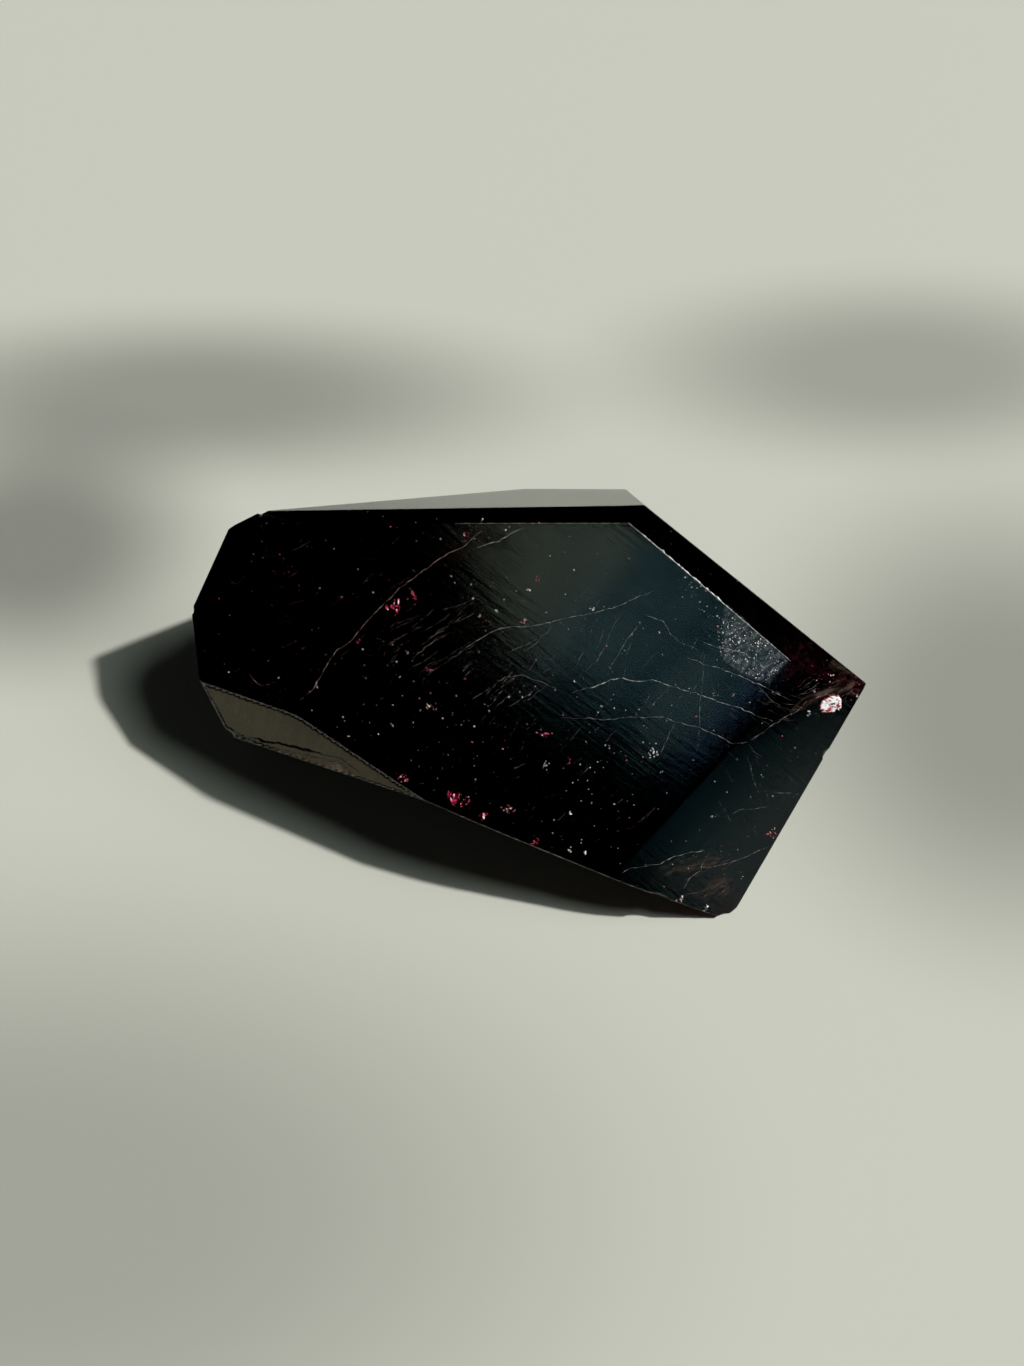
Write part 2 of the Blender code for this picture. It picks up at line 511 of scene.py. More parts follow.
def scaled(start, vector, number):
    return start.node("ShaderNodeVectorMath", {"operation": "SCALE"}, {0: vector, "Scale": number})


BEAD_SCALE = 2300.0
TUBE_SIDES = 5


def line_shaper():
    """Fine raised lines: a tube along each chain of edges, thick and thin by turns or even."""
    ways = {
        "Step": "NodeSocketFloat",
        "Seed": "NodeSocketFloat",
        "Even": "NodeSocketFloat",
        "Material": "NodeSocketMaterial",
    }
    tree, start, ways = new_shaper("fine line", ways)
    chain = start.node("GeometryNodeMeshToCurve", {}, {0: ways["Geometry"]})
    stride = {"Curve": chain, "Length": ways["Step"]}
    even = start.node("GeometryNodeResampleCurve", {"mode": "LENGTH"}, stride)
    place = start.node("GeometryNodeInputPosition")
    bead = {"Vector": place, "W": ways["Seed"], "Scale": BEAD_SCALE, "Detail": 2.0}
    beads = start.node("ShaderNodeTexNoise", {"noise_dimensions": "4D"}, bead)
    swell = (beads.step(0.40, 0.66) * 1.05 + 0.12) * (1.0 - ways["Even"]) + ways["Even"]
    profile = {"Resolution": TUBE_SIDES, "Radius": 1.0}
    ring = start.node("GeometryNodeCurvePrimitiveCircle", {"mode": "RADIUS"}, profile)
    sweep = {
        "Curve": even,
        "Profile Curve": ring,
        "Scale": named(start, "width") * 0.5 * swell,
        "Fill Caps": True,
    }
    tube = start.node("GeometryNodeCurveToMesh", {}, sweep)
    smooth = start.node("GeometryNodeSetShadeSmooth", {}, {0: tube})
    return close_shaper(tree, start, smooth, ways["Material"])


FLAKE_WAYS = {
    "Shape": "NodeSocketVector",
    "Tilt": "NodeSocketFloat",
    "Seed": "NodeSocketInt",
    "Material": "NodeSocketMaterial",
}


def flakes(start, ways, points, facing, size):
    """Broken flakes on points: each faces its own way, more or less, and none is like the next."""
    block = start.node("GeometryNodeMeshIcoSphere", {}, {"Radius": 1.0, "Subdivisions": 1})
    rough = start.node("ShaderNodeTexNoise", {}, {"Scale": 1.7, "Detail": 1.0}, output=1)
    rough = start.node("ShaderNodeVectorMath", {"operation": "SUBTRACT"}, {0: rough, 1: (0.5, 0.5, 0.5)})
    block = start.node("GeometryNodeSetPosition", {}, {"Geometry": block, "Offset": rough})
    stance = start.node("FunctionNodeAlignRotationToVector", {"axis": "Z"}, {"Vector": facing})
    swing = chance_vector(start, (-1.0, -1.0, -3.0), (1.0, 1.0, 3.0), ways["Seed"])
    turn = {"Rotation": stance, "Rotate By": scaled(start, swing, ways["Tilt"])}
    turned = start.node("FunctionNodeRotateRotation", {"rotation_space": "LOCAL"}, turn)
    spread = chance_vector(start, (0.5, 0.5, 0.5), (1.4, 1.4, 1.4), ways["Seed"] + 1.0)
    spread = start.node("ShaderNodeVectorMath", {"operation": "MULTIPLY"}, {0: spread, 1: ways["Shape"]})
    flake = {"Points": points, "Instance": block, "Rotation": turned, "Scale": scaled(start, spread, size)}
    return start.node("GeometryNodeInstanceOnPoints", {}, flake)


def flake_shaper():
    """A flake on each point of a mesh, by the point's own size and facing."""
    tree, start, ways = new_shaper("flakes", FLAKE_WAYS)
    facing = named(start, "facing", "FLOAT_VECTOR")
    strewn = flakes(start, ways, ways["Geometry"], facing, named(start, "size"))
    return close_shaper(tree, start, strewn, ways["Material"])


def scatter_shaper():
    """Flakes strewn over a whole surface."""
    ways = {"Density": "NodeSocketFloat", "Size": "NodeSocketFloat", **FLAKE_WAYS}
    tree, start, ways = new_shaper("strewn flakes", ways)
    strewn = {"Mesh": ways["Geometry"], "Density": ways["Density"], "Seed": ways["Seed"]}
    points = start.node("GeometryNodeDistributePointsOnFaces", {}, strewn)
    facing = Wire(tree, points.socket.node.outputs["Normal"])
    chance = chance_number(start, 5)
    toned = start.node(
        "GeometryNodeStoreNamedAttribute",
        {"data_type": "FLOAT", "domain": "POINT"},
        {"Geometry": points, "Name": "tone", "Value": chance},
    )
    size = ways["Size"] * (chance_number(start, 6) ** 3.0 * 1.6 + 0.35)
    return close_shaper(tree, start, flakes(start, ways, toned, facing, size), ways["Material"])


def chip_shaper():
    """Small balls along edges, a little off them: what knocks the chips out of the stone."""
    ways = {
        "Spacing": "NodeSocketFloat",
        "Radius": "NodeSocketFloat",
        "Off": "NodeSocketFloat",
        "Seed": "NodeSocketInt",
    }
    tree, start, ways = new_shaper("edge chips", ways)
    chain = start.node("GeometryNodeMeshToCurve", {}, {0: ways["Geometry"]})
    stride = {0: chain, "Length": ways["Spacing"]}
    points = start.node("GeometryNodeCurveToPoints", {"mode": "LENGTH"}, stride)
    shift = chance_vector(start, (-1.0, -1.0, -1.0), (1.0, 1.0, 1.0), ways["Seed"])
    moved = {"Geometry": points, "Offset": scaled(start, shift, ways["Off"])}
    points = start.node("GeometryNodeSetPosition", {}, moved)
    turn = chance_vector(start, (0.0, 0.0, 0.0), (6.28, 6.28, 6.28), 3)
    radius = ways["Radius"] * named(start, "wear") * (chance_number(start, 11) ** 4.0 * 1.5 + 0.35)
    knock = {
        "Points": points,
        "Instance": start.node("GeometryNodeMeshIcoSphere", {}, {"Radius": 1.0, "Subdivisions": 1}),
        "Rotation": start.node("FunctionNodeEulerToRotation", {}, {0: turn}),
        "Scale": start.node("ShaderNodeCombineXYZ", {}, {0: radius * 1.5, 1: radius, 2: radius}),
    }
    return close_shaper(tree, start, start.node("GeometryNodeInstanceOnPoints", {}, knock))


# What the photograph shows on and in the stone


class Line(NamedTuple):
    """A fine line on the stone: its width in millimetres, its tone, and the pixels that it runs through."""

    name: str
    width: float
    tone: float
    places: tuple


LINES = (
    Line(
        "long vein",
        0.15,
        0.95,
        (
            (573, 692), (584, 689), (595, 687), (610, 680), (622, 678), (635, 681), (647, 681), (652, 680),
            (664, 684), (677, 688), (707, 697), (732, 706), (745, 710), (759, 717), (773, 721),
        ),
    ),
    Line(
        "vein to the right corner",
        0.11,
        0.9,
        ((688, 658), (704, 664), (721, 669), (734, 674), (751, 681), (759, 684), (776, 693), (795, 702)),
    ),
    Line(
        "frosted vein",
        0.12,
        0.95,
        ((704, 643), (718, 647), (732, 650), (745, 654), (759, 662), (768, 672)),
    ),
    Line("faint upper vein", 0.06, 0.8, ((644, 615), (663, 621), (671, 634), (682, 644), (697, 649))),
    Line(
        "lower vein",
        0.075,
        0.85,
        (
            (562, 718), (589, 718), (606, 720), (622, 717), (644, 717), (663, 717), (677, 722), (699, 728),
            (718, 736), (732, 743), (745, 743), (759, 735),
        ),
    ),
    Line(
        "tip vein",
        0.07,
        0.62,
        (
            (752, 741), (759, 735), (768, 728), (781, 720), (797, 711), (806, 703), (818, 697), (832, 694),
            (843, 693),
        ),
    ),
    Line(
        "middle vein",
        0.075,
        0.75,
        (
            (455, 657), (463, 649), (479, 640), (493, 631), (510, 627), (526, 627), (548, 623), (567, 618),
            (584, 615), (600, 611), (619, 606), (638, 597), (655, 590),
        ),
    ),
    Line("slanting crack", 0.07, 0.8, ((638, 625), (627, 640), (616, 658), (609, 668))),
    Line("short crack", 0.055, 0.75, ((610, 634), (604, 648), (595, 664))),
    Line("crack by the middle vein", 0.05, 0.8, ((625, 610), (616, 621), (610, 632))),
    Line(
        "upright crack",
        0.05,
        0.7,
        ((705, 655), (704, 665), (702, 686), (700, 703), (700, 728), (697, 752)),
    ),
    Line("second upright crack", 0.045, 0.7, ((674, 725), (667, 739), (661, 752))),
    Line(
        "upper left vein",
        0.075,
        0.5,
        (
            (297, 702), (308, 694), (316, 685), (326, 667), (335, 652), (352, 640), (368, 620), (388, 600),
            (405, 584), (420, 573), (430, 566), (441, 558), (452, 551), (463, 547), (477, 534), (490, 528),
        ),
    ),
    Line("upper vein's branch", 0.09, 0.85, ((475, 548), (485, 545), (499, 541), (512, 533), (523, 528))),
    Line(
        "curved vein",
        0.055,
        0.6,
        ((485, 697), (493, 687), (504, 678), (521, 675), (540, 681), (551, 687), (562, 692)),
    ),
    Line("left crack", 0.06, 0.45, ((249, 674), (255, 681), (262, 685), (270, 684), (276, 681))),
    Line(
        "low corner vein",
        0.12,
        0.65,
        (
            (620, 874), (626, 871), (633, 868), (646, 866), (660, 864), (670, 859), (680, 855), (692, 852),
            (707, 851),
        ),
    ),
    Line(
        "low corner streak",
        0.06,
        0.6,
        ((700, 868), (718, 866), (733, 862), (745, 857), (757, 852), (771, 845)),
    ),
    Line("low corner hook", 0.055, 0.5, ((683, 890), (690, 878), (700, 870), (706, 858), (712, 847))),
    Line("right vein", 0.06, 0.75, ((747, 757), (751, 768), (753, 780), (758, 789))),
    Line("right vein's arm", 0.06, 0.75, ((757, 792), (768, 791), (780, 793), (792, 793), (802, 795))),
    Line("right lower vein", 0.05, 0.7, ((733, 813), (741, 809), (757, 808), (768, 807))),
    Line("right upper thread", 0.05, 0.6, ((757, 684), (768, 697), (780, 706), (792, 712))),
)


class Bundle(NamedTuple):
    """Short parallel streaks: their middle pixel, run, spread and number, and their width and tone."""

    name: str
    middle: tuple
    run: tuple
    spread: tuple
    count: int
    width: float
    tone: float


BUNDLES = (
    Bundle("left streaks", (430, 632), (-26, 18), (42, 34), 34, 0.05, 0.6),
    Bundle("middle streaks", (505, 665), (-22, 16), (50, 40), 26, 0.05, 0.75),
    Bundle("blue streaks", (640, 650), (-9, 16), (70, 60), 30, 0.05, 0.9),
    Bundle("low streaks", (560, 770), (-14, 14), (90, 60), 30, 0.045, 0.55),
    Bundle("tip fibres", (826, 690), (26, -14), (22, 9), 14, 0.06, 0.6),
    Bundle("band fibres", (775, 705), (20, 8), (22, 18), 12, 0.06, 0.6),
    Bundle("low corner fibres", (702, 880), (24, -13), (40, 22), 26, 0.05, 0.5),
    Bundle("band streaks", (735, 722), (14, 10), (32, 34), 18, 0.04, 0.6),
    Bundle("right facet streaks", (760, 790), (12, 16), (44, 60), 20, 0.03, 0.7),
    Bundle("upper left streaks", (330, 600), (-14, 10), (90, 60), 34, 0.03, 0.35),
)


class Cluster(NamedTuple):
    """Flakes round a pixel: how far they spread in pixels, how many, their size, depth and tone."""

    name: str
    middle: tuple
    spread: float
    count: int
    size: float
    depth: float
    tone: float


SPARKS = (
    Cluster("spark by the red streak", (529, 590), 1.5, 5, 0.10, 0.0, 1.0),
    Cluster("spark on the middle vein", (593, 609), 3.0, 8, 0.11, 0.0, 1.0),
    Cluster("upper spark", (574, 570), 1.0, 2, 0.07, 0.0, 1.0),
    Cluster("second upper spark", (566, 595), 1.0, 2, 0.08, 0.0, 1.0),
    Cluster("low bright knot", (653, 753), 4.0, 12, 0.13, 0.0, 0.95),
    Cluster("spark under the knot", (662, 771), 1.5, 3, 0.09, 0.0, 1.0),
    Cluster("cluster at the middle low", (545, 765), 5.0, 12, 0.09, 0.0, 0.85),
    Cluster("low spark", (570, 813), 2.0, 4, 0.10, 0.0, 0.9),
    Cluster("edge spark left", (571, 850), 2.5, 6, 0.11, 0.0, 0.9),
    Cluster("edge spark right", (585, 853), 2.5, 6, 0.11, 0.0, 0.9),
    Cluster("right facet spark", (715, 781), 1.2, 3, 0.10, 0.0, 1.0),
    Cluster("right facet low spark", (711, 817), 2.0, 4, 0.09, 0.0, 0.95),
    Cluster("left spark", (392, 725), 2.0, 4, 0.08, 0.0, 0.8),
    Cluster("far left spark", (349, 737), 1.5, 3, 0.07, 0.0, 0.8),
    Cluster("spark under the veins", (602, 706), 1.0, 3, 0.09, 0.0, 1.0),
    Cluster("spark right of it", (653, 705), 1.0, 2, 0.07, 0.0, 1.0),
    Cluster("blue spark", (659, 633), 1.0, 2, 0.07, 0.0, 1.0),
    Cluster("blue upper spark", (640, 623), 1.0, 2, 0.06, 0.0, 1.0),
    Cluster("vein knots", (316, 685), 3.0, 6, 0.09, 0.0, 0.7),
    Cluster("pink pair", (714, 695), 2.0, 4, 0.07, 0.0, 0.6),
    Cluster("pale pair", (733, 695), 1.8, 4, 0.09, 0.0, 0.8),
    Cluster("tip spark", (808, 713), 2.5, 6, 0.12, 0.0, 1.0),
    Cluster("tip upper spark", (833, 675), 1.5, 3, 0.10, 0.0, 0.95),
    Cluster("tip middle spark", (815, 692), 1.5, 3, 0.10, 0.0, 0.9),
    Cluster("tip end spark", (857, 696), 1.5, 4, 0.10, 0.0, 0.9),
    Cluster("low corner sparks", (680, 899), 3.0, 6, 0.10, 0.0, 0.6),
    Cluster("corner chip sparks", (706, 908), 2.5, 6, 0.09, 0.0, 0.8),
    Cluster("green spark", (496, 611), 1.5, 3, 0.08, 0.0, 0.95),
    Cluster("green spark's pair", (480, 616), 2.0, 4, 0.08, 0.0, 0.7),
    Cluster("top edge sparks", (482, 519), 2.0, 4, 0.08, 0.0, 0.8),
)

CRIMSONS = (
    Cluster("upper left flare", (396, 606), 7.0, 14, 0.22, 0.04, 0.05),
    Cluster("upper left flare's tail", (412, 598), 6.0, 8, 0.16, 0.03, 0.12),
    Cluster("left dot", (357, 642), 2.5, 4, 0.16, 0.03, 0.0),
    Cluster("front left flare", (402, 778), 6.0, 12, 0.20, 0.04, 0.2),
    Cluster("front flare", (452, 797), 7.0, 18, 0.28, 0.05, 0.0),
    Cluster("front flare's right side", (466, 800), 6.0, 10, 0.20, 0.04, 0.1),
    Cluster("front small flare", (483, 816), 4.0, 7, 0.18, 0.04, 0.05),
    Cluster("front pale flare", (508, 808), 5.0, 10, 0.18, 0.03, 0.3),
    Cluster("front low flare", (535, 842), 6.0, 10, 0.16, 0.03, 0.15),
    Cluster("middle left flare", (432, 708), 5.0, 10, 0.15, 0.02, 0.5),
    Cluster("middle left dot", (428, 670), 3.0, 5, 0.14, 0.03, 0.25),
    Cluster("middle dot", (545, 735), 4.0, 7, 0.13, 0.03, 0.05),
    Cluster("middle low dot", (570, 759), 3.0, 5, 0.12, 0.03, 0.05),
    Cluster("red streak", (538, 577), 5.0, 8, 0.12, 0.03, 0.12),
    Cluster("vein's red dot", (525, 622), 2.5, 5, 0.12, 0.02, 0.15),
    Cluster("pink edge spot", (772, 835), 4.5, 10, 0.16, 0.02, 0.3),
    Cluster("tip reds", (822, 668), 9.0, 8, 0.14, 0.04, 0.0),
    Cluster("tip rose", (858, 682), 6.0, 6, 0.14, 0.03, 0.25),
    Cluster("left facet reds", (286, 560), 18.0, 10, 0.10, 0.02, 0.1),
    Cluster("upper edge reds", (470, 534), 14.0, 14, 0.10, 0.02, 0.15),
)


class Field(NamedTuple):
    """Loose specks strewn within an outline of pixels: how many, their size in millimetres and tones."""

    name: str
    outline: tuple
    count: int
    size: float
    tones: tuple


FIELDS = (
    Field(
        "frosted corner",
        ((716, 616), (741, 619), (787, 660), (766, 683), (742, 672), (720, 655)),
        330,
        0.07,
        (0.8, 1.0),
    ),
    Field(
        "along the right crest",
        ((650, 545), (664, 550), (780, 655), (770, 660), (700, 612)),
        60,
        0.06,
        (0.8, 1.0),
    ),
    Field(
        "over the top",
        ((440, 530), (625, 528), (780, 662), (622, 868), (440, 790), (330, 700)),
        260,
        0.06,
        (0.6, 1.0),
    ),
    Field(
        "low top",
        ((380, 640), (600, 680), (660, 780), (610, 860), (430, 795), (330, 730)),
        150,
        0.065,
        (0.2, 1.0),
    ),
    Field(
        "left facets",
        ((215, 600), (262, 520), (430, 522), (400, 660), (320, 715), (215, 680)),
        90,
        0.05,
        (0.1, 0.9),
    ),
    Field("right facet", ((800, 715), (852, 702), (735, 900), (650, 885), (660, 860)), 70, 0.045, (0.5, 1.0)),
    Field("tip", ((800, 690), (835, 655), (862, 680), (855, 700), (820, 720)), 30, 0.07, (0.3, 1.0)),
)


class Chains:
    """Chains of points for the line shaper, with a width and a tone on each point."""

    def __init__(self):
        self.corners = []
        self.edges = []
        self.widths = []
        self.tones = []

    def add(self, places, width, tone):
        """Add one chain through places in space, tapered at both ends."""
        for index, place in enumerate(places):
            taper = min(1.0, 0.25 + 5.0 * min(index, len(places) - 1 - index) / len(places))
            if index:
                self.edges.append((len(self.corners) - 1, len(self.corners)))
            self.corners.append(place)
            self.widths.append(width * MM * taper)
            self.tones.append(tone)

    def mesh(self, name):
        mesh = bpy.data.meshes.new(name)
        mesh.from_pydata(self.corners, self.edges, [])
        set_point_values(mesh, "width", self.widths)
        set_point_values(mesh, "tone", self.tones)
        return mesh


LINE_STRIDE = 4.0
LINE_WANDER = 0.45
LINE_STEP = 0.12 * MM


def way_through(pixels, draw):
    """Pixels a short stride apart along a way, each a little off it."""
    way = []
    for start, end in zip(pixels, pixels[1:]):
        start = Vector(start)
        end = Vector(end)
        count = max(1, round((end - start).length / LINE_STRIDE))
        way += [start.lerp(end, index / count) for index in range(count)]
    way.append(Vector(pixels[-1]))
    return [pixel + Vector((draw.gauss(0, LINE_WANDER), draw.gauss(0, LINE_WANDER))) for pixel in way]


def stone_places(pixels):
    """The stone's points at pixels, without those that miss it."""
    return [seen[0] for seen in map(seen_on_stone, pixels) if seen]


class Specks:
    """Loose points for the flake shaper, with a size, a tone and a facing on each."""

    def __init__(self):
        self.corners = []
        self.sizes = []
        self.tones = []
        self.facings = []

    def add(self, pixel, size, depth, tone):
        seen = seen_on_stone(pixel)
        if seen is None:
            return
        self.corners.append(seen[0] - seen[1] * depth * MM)
        self.sizes.append(size * MM)
        self.tones.append(tone)
        self.facings.append(seen[1])

    def mesh(self, name):
        mesh = bpy.data.meshes.new(name)
        mesh.from_pydata(self.corners, [], [])
        set_point_values(mesh, "size", self.sizes)
        set_point_values(mesh, "tone", self.tones)
        set_point_values(mesh, "facing", self.facings, "FLOAT_VECTOR")
        return mesh


def add_clusters(specks, clusters, draw):
    for cluster in clusters:
        for _ in range(cluster.count):
            pixel = (
                draw.gauss(cluster.middle[0], cluster.spread / 2),
                draw.gauss(cluster.middle[1], cluster.spread / 2),
            )
            size = cluster.size * draw.uniform(0.45, 1.3)
            tone = min(1.0, max(0.0, cluster.tone + draw.gauss(0, 0.07)))
            specks.add(pixel, size, cluster.depth * draw.uniform(0.3, 1.5), tone)


def add_fields(specks, fields, draw):
    for field in fields:
        columns = [corner[0] for corner in field.outline]
        rows = [corner[1] for corner in field.outline]
        placed = 0
        while placed < field.count:
            pixel = (draw.uniform(min(columns), max(columns)), draw.uniform(min(rows), max(rows)))
            if inside(pixel, field.outline):
                size = field.size * (0.35 + 1.4 * draw.random() ** 3)
                specks.add(pixel, size, 0.0, draw.uniform(*field.tones))
                placed += 1


class GarnetSettings(bpy.types.PropertyGroup):
    """Sizes and colours of the garnet that a user would change."""

    garnet_tint: FloatVectorProperty(
        name="Tint",
        description="Surface tint of the clear garnet",
        subtype="COLOR",
        size=3,
        default=(0.95, 0.72, 0.72),
    )
    absorb_colour: FloatVectorProperty(
        name="Depth colour",
        description="Colour that deep garnet keeps",
        subtype="COLOR",
        size=3,
        default=(0.62, 0.0, 0.06),
    )
    absorb_density: FloatProperty(
        name="Density", description="How strongly the garnet takes light, per metre", default=4800.0, min=0.0
    )
    polish_depth: FloatProperty(
        name="Polish marks",
        description="Strength of the fine marks left by polishing",
        default=0.4,
        min=0.0,
        max=1.0,
    )
    polish_roughness: FloatProperty(
        name="Polish roughness", description="Roughness of a clean facet", default=0.035, min=0.0, max=1.0
    )
    chip_radius: FloatProperty(
        name="Chip size",
        description="Radius of the chips along the edges",
        default=0.07 * MM,
        min=0.0,
        subtype="DISTANCE",
        unit="LENGTH",
    )
    chip_spacing: FloatProperty(
        name="Chip spacing",
        description="Distance between chips along an edge",
        default=1.1 * MM,
        min=0.1 * MM,
        subtype="DISTANCE",
        unit="LENGTH",
    )
    vein_width: FloatProperty(
        name="Vein width",
        description="Share of the veins' and streaks' listed widths",
        default=0.45,
        min=0.1,
        max=2.0,
    )
    speck_density: FloatProperty(
        name="Specks", description="Specks to the square metre all over the stone", default=120000.0, min=0.0
    )
    seed: IntProperty(name="Seed", description="Draws another set of chips and specks", default=7, min=0)
    sun_strength: FloatProperty(name="Sun", description="Strength of the sun lamp", default=3.5, min=0.0)
    floor_colour: FloatVectorProperty(
        name="Floor", description="Colour of the floor", subtype="COLOR", size=3, default=(0.70, 0.70, 0.62)
    )


def garnet_settings():
    return bpy.context.scene.garnet_settings


WELD = 0.001 * MM
FLAT_ANGLE = math.radians(0.2)
SMOOTH_ANGLE = math.radians(4.0)
CRISP_ANGLE = math.radians(7.0)
LONG_EDGE = 2.5 * MM
ABOVE_FLOOR = 0.15 * MM

# The crest between the top facet and the bevel to its right, which is the most chipped edge
CREST_ENDS = ((628, 523), (790, 661))
CREST_WEAR = 1.3
CREST_REACH = 0.3 * MM


def welded_stone():
    """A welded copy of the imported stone, with each facet one face."""
    stone = bmesh.new()
    stone.from_mesh(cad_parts[NODE].data)
    bmesh.ops.remove_doubles(stone, verts=stone.verts, dist=WELD)
    bmesh.ops.dissolve_limit(stone, angle_limit=FLAT_ANGLE, verts=stone.verts, edges=stone.edges)
    return stone


def crisp_edges_mesh():
    """The long crisp edges of the stone above the floor, with how worn each is."""
    stone = welded_stone()
    crest = [edge_point(pixel, TOP_SPOT, RIGHT_BEVEL_SPOT) for pixel in CREST_ENDS]
    corners = []
    edges = []
    wear = []
    for edge in stone.edges:
        ends = [vertex.co.copy() for vertex in edge.verts]
        if edge.calc_length() < LONG_EDGE or edge.calc_face_angle(0.0) < CRISP_ANGLE:
            continue
        if min(end.z for end in ends) < ABOVE_FLOOR:
            continue
        middle = (ends[0] + ends[1]) / 2
        foot, share = intersect_point_line(middle, *crest)
        on_crest = (foot - middle).length < CREST_REACH and 0.0 < share < 1.0
        edges.append((len(corners), len(corners) + 1))
        corners += ends
        wear += [CREST_WEAR if on_crest else 1.0] * 2
    stone.free()
    mesh = bpy.data.meshes.new("crisp edges")
    mesh.from_pydata(corners, edges, [])
    set_point_values(mesh, "wear", wear)
    return mesh


class GARNET_OT_stone(bpy.types.Operator):
    """Build the polished stone over its solid, with fine chips along its crisp edges"""

    bl_idname = "garnet.stone"
    bl_label = "Stone"

    def execute(self, context):
        values = garnet_settings()
        shape = welded_stone()
        mesh = bpy.data.meshes.new("stone blank")
        shape.to_mesh(mesh)
        shape.free()
        blank = new_object("stone blank", mesh, garnet_material(values))
        ways = {
            "Spacing": values.chip_spacing,
            "Radius": values.chip_radius,
            "Off": values.chip_radius * 0.6,
            "Seed": values.seed,
        }
        chips = shaped("edge chips", crisp_edges_mesh(), chip_shaper(), ways)
        knocks = blank.modifiers.new("edge chips", "BOOLEAN")
        knocks.operation = "DIFFERENCE"
        knocks.solver = "EXACT"
        knocks.use_self = True
        knocks.object = chips
        graph = bpy.context.evaluated_depsgraph_get()
        chipped = bpy.data.meshes.new_from_object(blank.evaluated_get(graph))
        bpy.data.objects.remove(blank)
        bpy.data.objects.remove(chips)
        chipped.name = "garnet_stone"
        stone = new_object("garnet_stone", chipped)
        chipped.shade_smooth()
        chipped.set_sharp_from_angle(angle=SMOOTH_ANGLE)
        weighted = stone.modifiers.new("flat facets", "WEIGHTED_NORMAL")
        weighted.keep_sharp = True
        weighted.weight = 100
        finish_piece(stone, NODE)
        return {"FINISHED"}


LINE_SEED = 21
STREAK_SWING = 0.16


class GARNET_OT_lines(bpy.types.Operator):
    """Draw the healed cracks and streaks on the facets"""

    bl_idname = "garnet.lines"
    bl_label = "Veins and cracks"

    def execute(self, context):
        share = garnet_settings().vein_width
        draw = random.Random(LINE_SEED)
        veins = Chains()
        for line in LINES:
            veins.add(stone_places(way_through(line.places, draw)), line.width * share, line.tone)
        streaks = Chains()
        for bundle in BUNDLES:
            for _ in range(bundle.count):
                middle = Vector(bundle.middle) + Vector(
                    (draw.uniform(-1, 1) * bundle.spread[0], draw.uniform(-1, 1) * bundle.spread[1])
                )
                swing = Matrix.Rotation(draw.gauss(0, STREAK_SWING), 2)
                half = swing @ Vector(bundle.run) * 0.5 * draw.uniform(0.3, 1.2)
                places = stone_places(way_through((middle - half, middle + half), draw))
                if len(places) > 2:
                    tone = min(1.0, max(0.0, bundle.tone + draw.gauss(0, 0.1)))
                    streaks.add(places, bundle.width * share * draw.uniform(0.4, 1.2), tone)
        tree = line_shaper()
        pieces = (
            ("healed_veins", veins, fragment_material("healed crack", 0.45, 0.35)),
            ("fine_streaks", streaks, fragment_material("fine streak", 0.45, 0.22, 0.75)),
        )
        for name, chains, material in pieces:
            ways = {"Step": LINE_STEP, "Seed": 0.0, "Material": material}
            finish_piece(shaped(name, chains.mesh(name), tree, ways))
        return {"FINISHED"}


EDGE_SEED = 61
# The crest's white line: wear on its chips, painted bright as a glint where it catches the sun
CREST_WIDTH = 0.16
CREST_TONE = 1.0
CREST_BREAK = ((638, 531), (738, 614))
CREST_BREAK_WIDTH = 0.34

# The top facet's back edge, and the front rim, which lies this many pixels outside the places listed; the
# lines on the front rim and on the tip's rim are painted highlights
BACK_EDGE_ENDS = ((455, 525), (628, 523))
BACK_EDGE_WIDTH = 0.045
BACK_EDGE_TONE = 0.6
FRONT_RIM = ((425, 801), (470, 818), (520, 838), (570, 857), (618, 875), (636, 884), (670, 897), (714, 913))
FRONT_RIM_REACH = (-3.0, 8.0)
FRONT_RIM_WIDTH = 0.07
FRONT_RIM_TONE = 0.65
TIP_RIM = ((735, 572), (770, 598), (800, 622), (835, 646), (862, 665))
TIP_RIM_REACH = (5.0, -8.0)
TIP_RIM_WIDTH = 0.04
TIP_RIM_TONE = 0.5
RIM_TRIES = 12


def rim_pixel(inner, outer):
    """The last pixel on the stone on the way from one on it to one off it."""
    inner = Vector(inner)
    outer = Vector(outer)
    for _ in range(RIM_TRIES):
        middle = (inner + outer) / 2
        if seen_on_stone(middle):
            inner = middle
        else:
            outer = middle
    return inner


def edge_places(ends, first_spot, second_spot, draw):
    """Points along the edge of two facets between two pixels, each pulled onto the stone's surface."""
    places = []
    for pixel in way_through(ends, draw):
        place = edge_point(pixel, first_spot, second_spot)
        places.append(STONE.find_nearest(place)[0])
    return places


def rim_places(pixels, reach, draw):
    """Points along the stone's outline near pixels, looked for from within it outwards."""
    places = []
    for pixel in way_through(pixels, draw):
        inner = pixel - Vector(reach)
        if seen_on_stone(inner):
            places.append(seen_on_stone(rim_pixel(inner, pixel + Vector(reach)))[0])
    return places


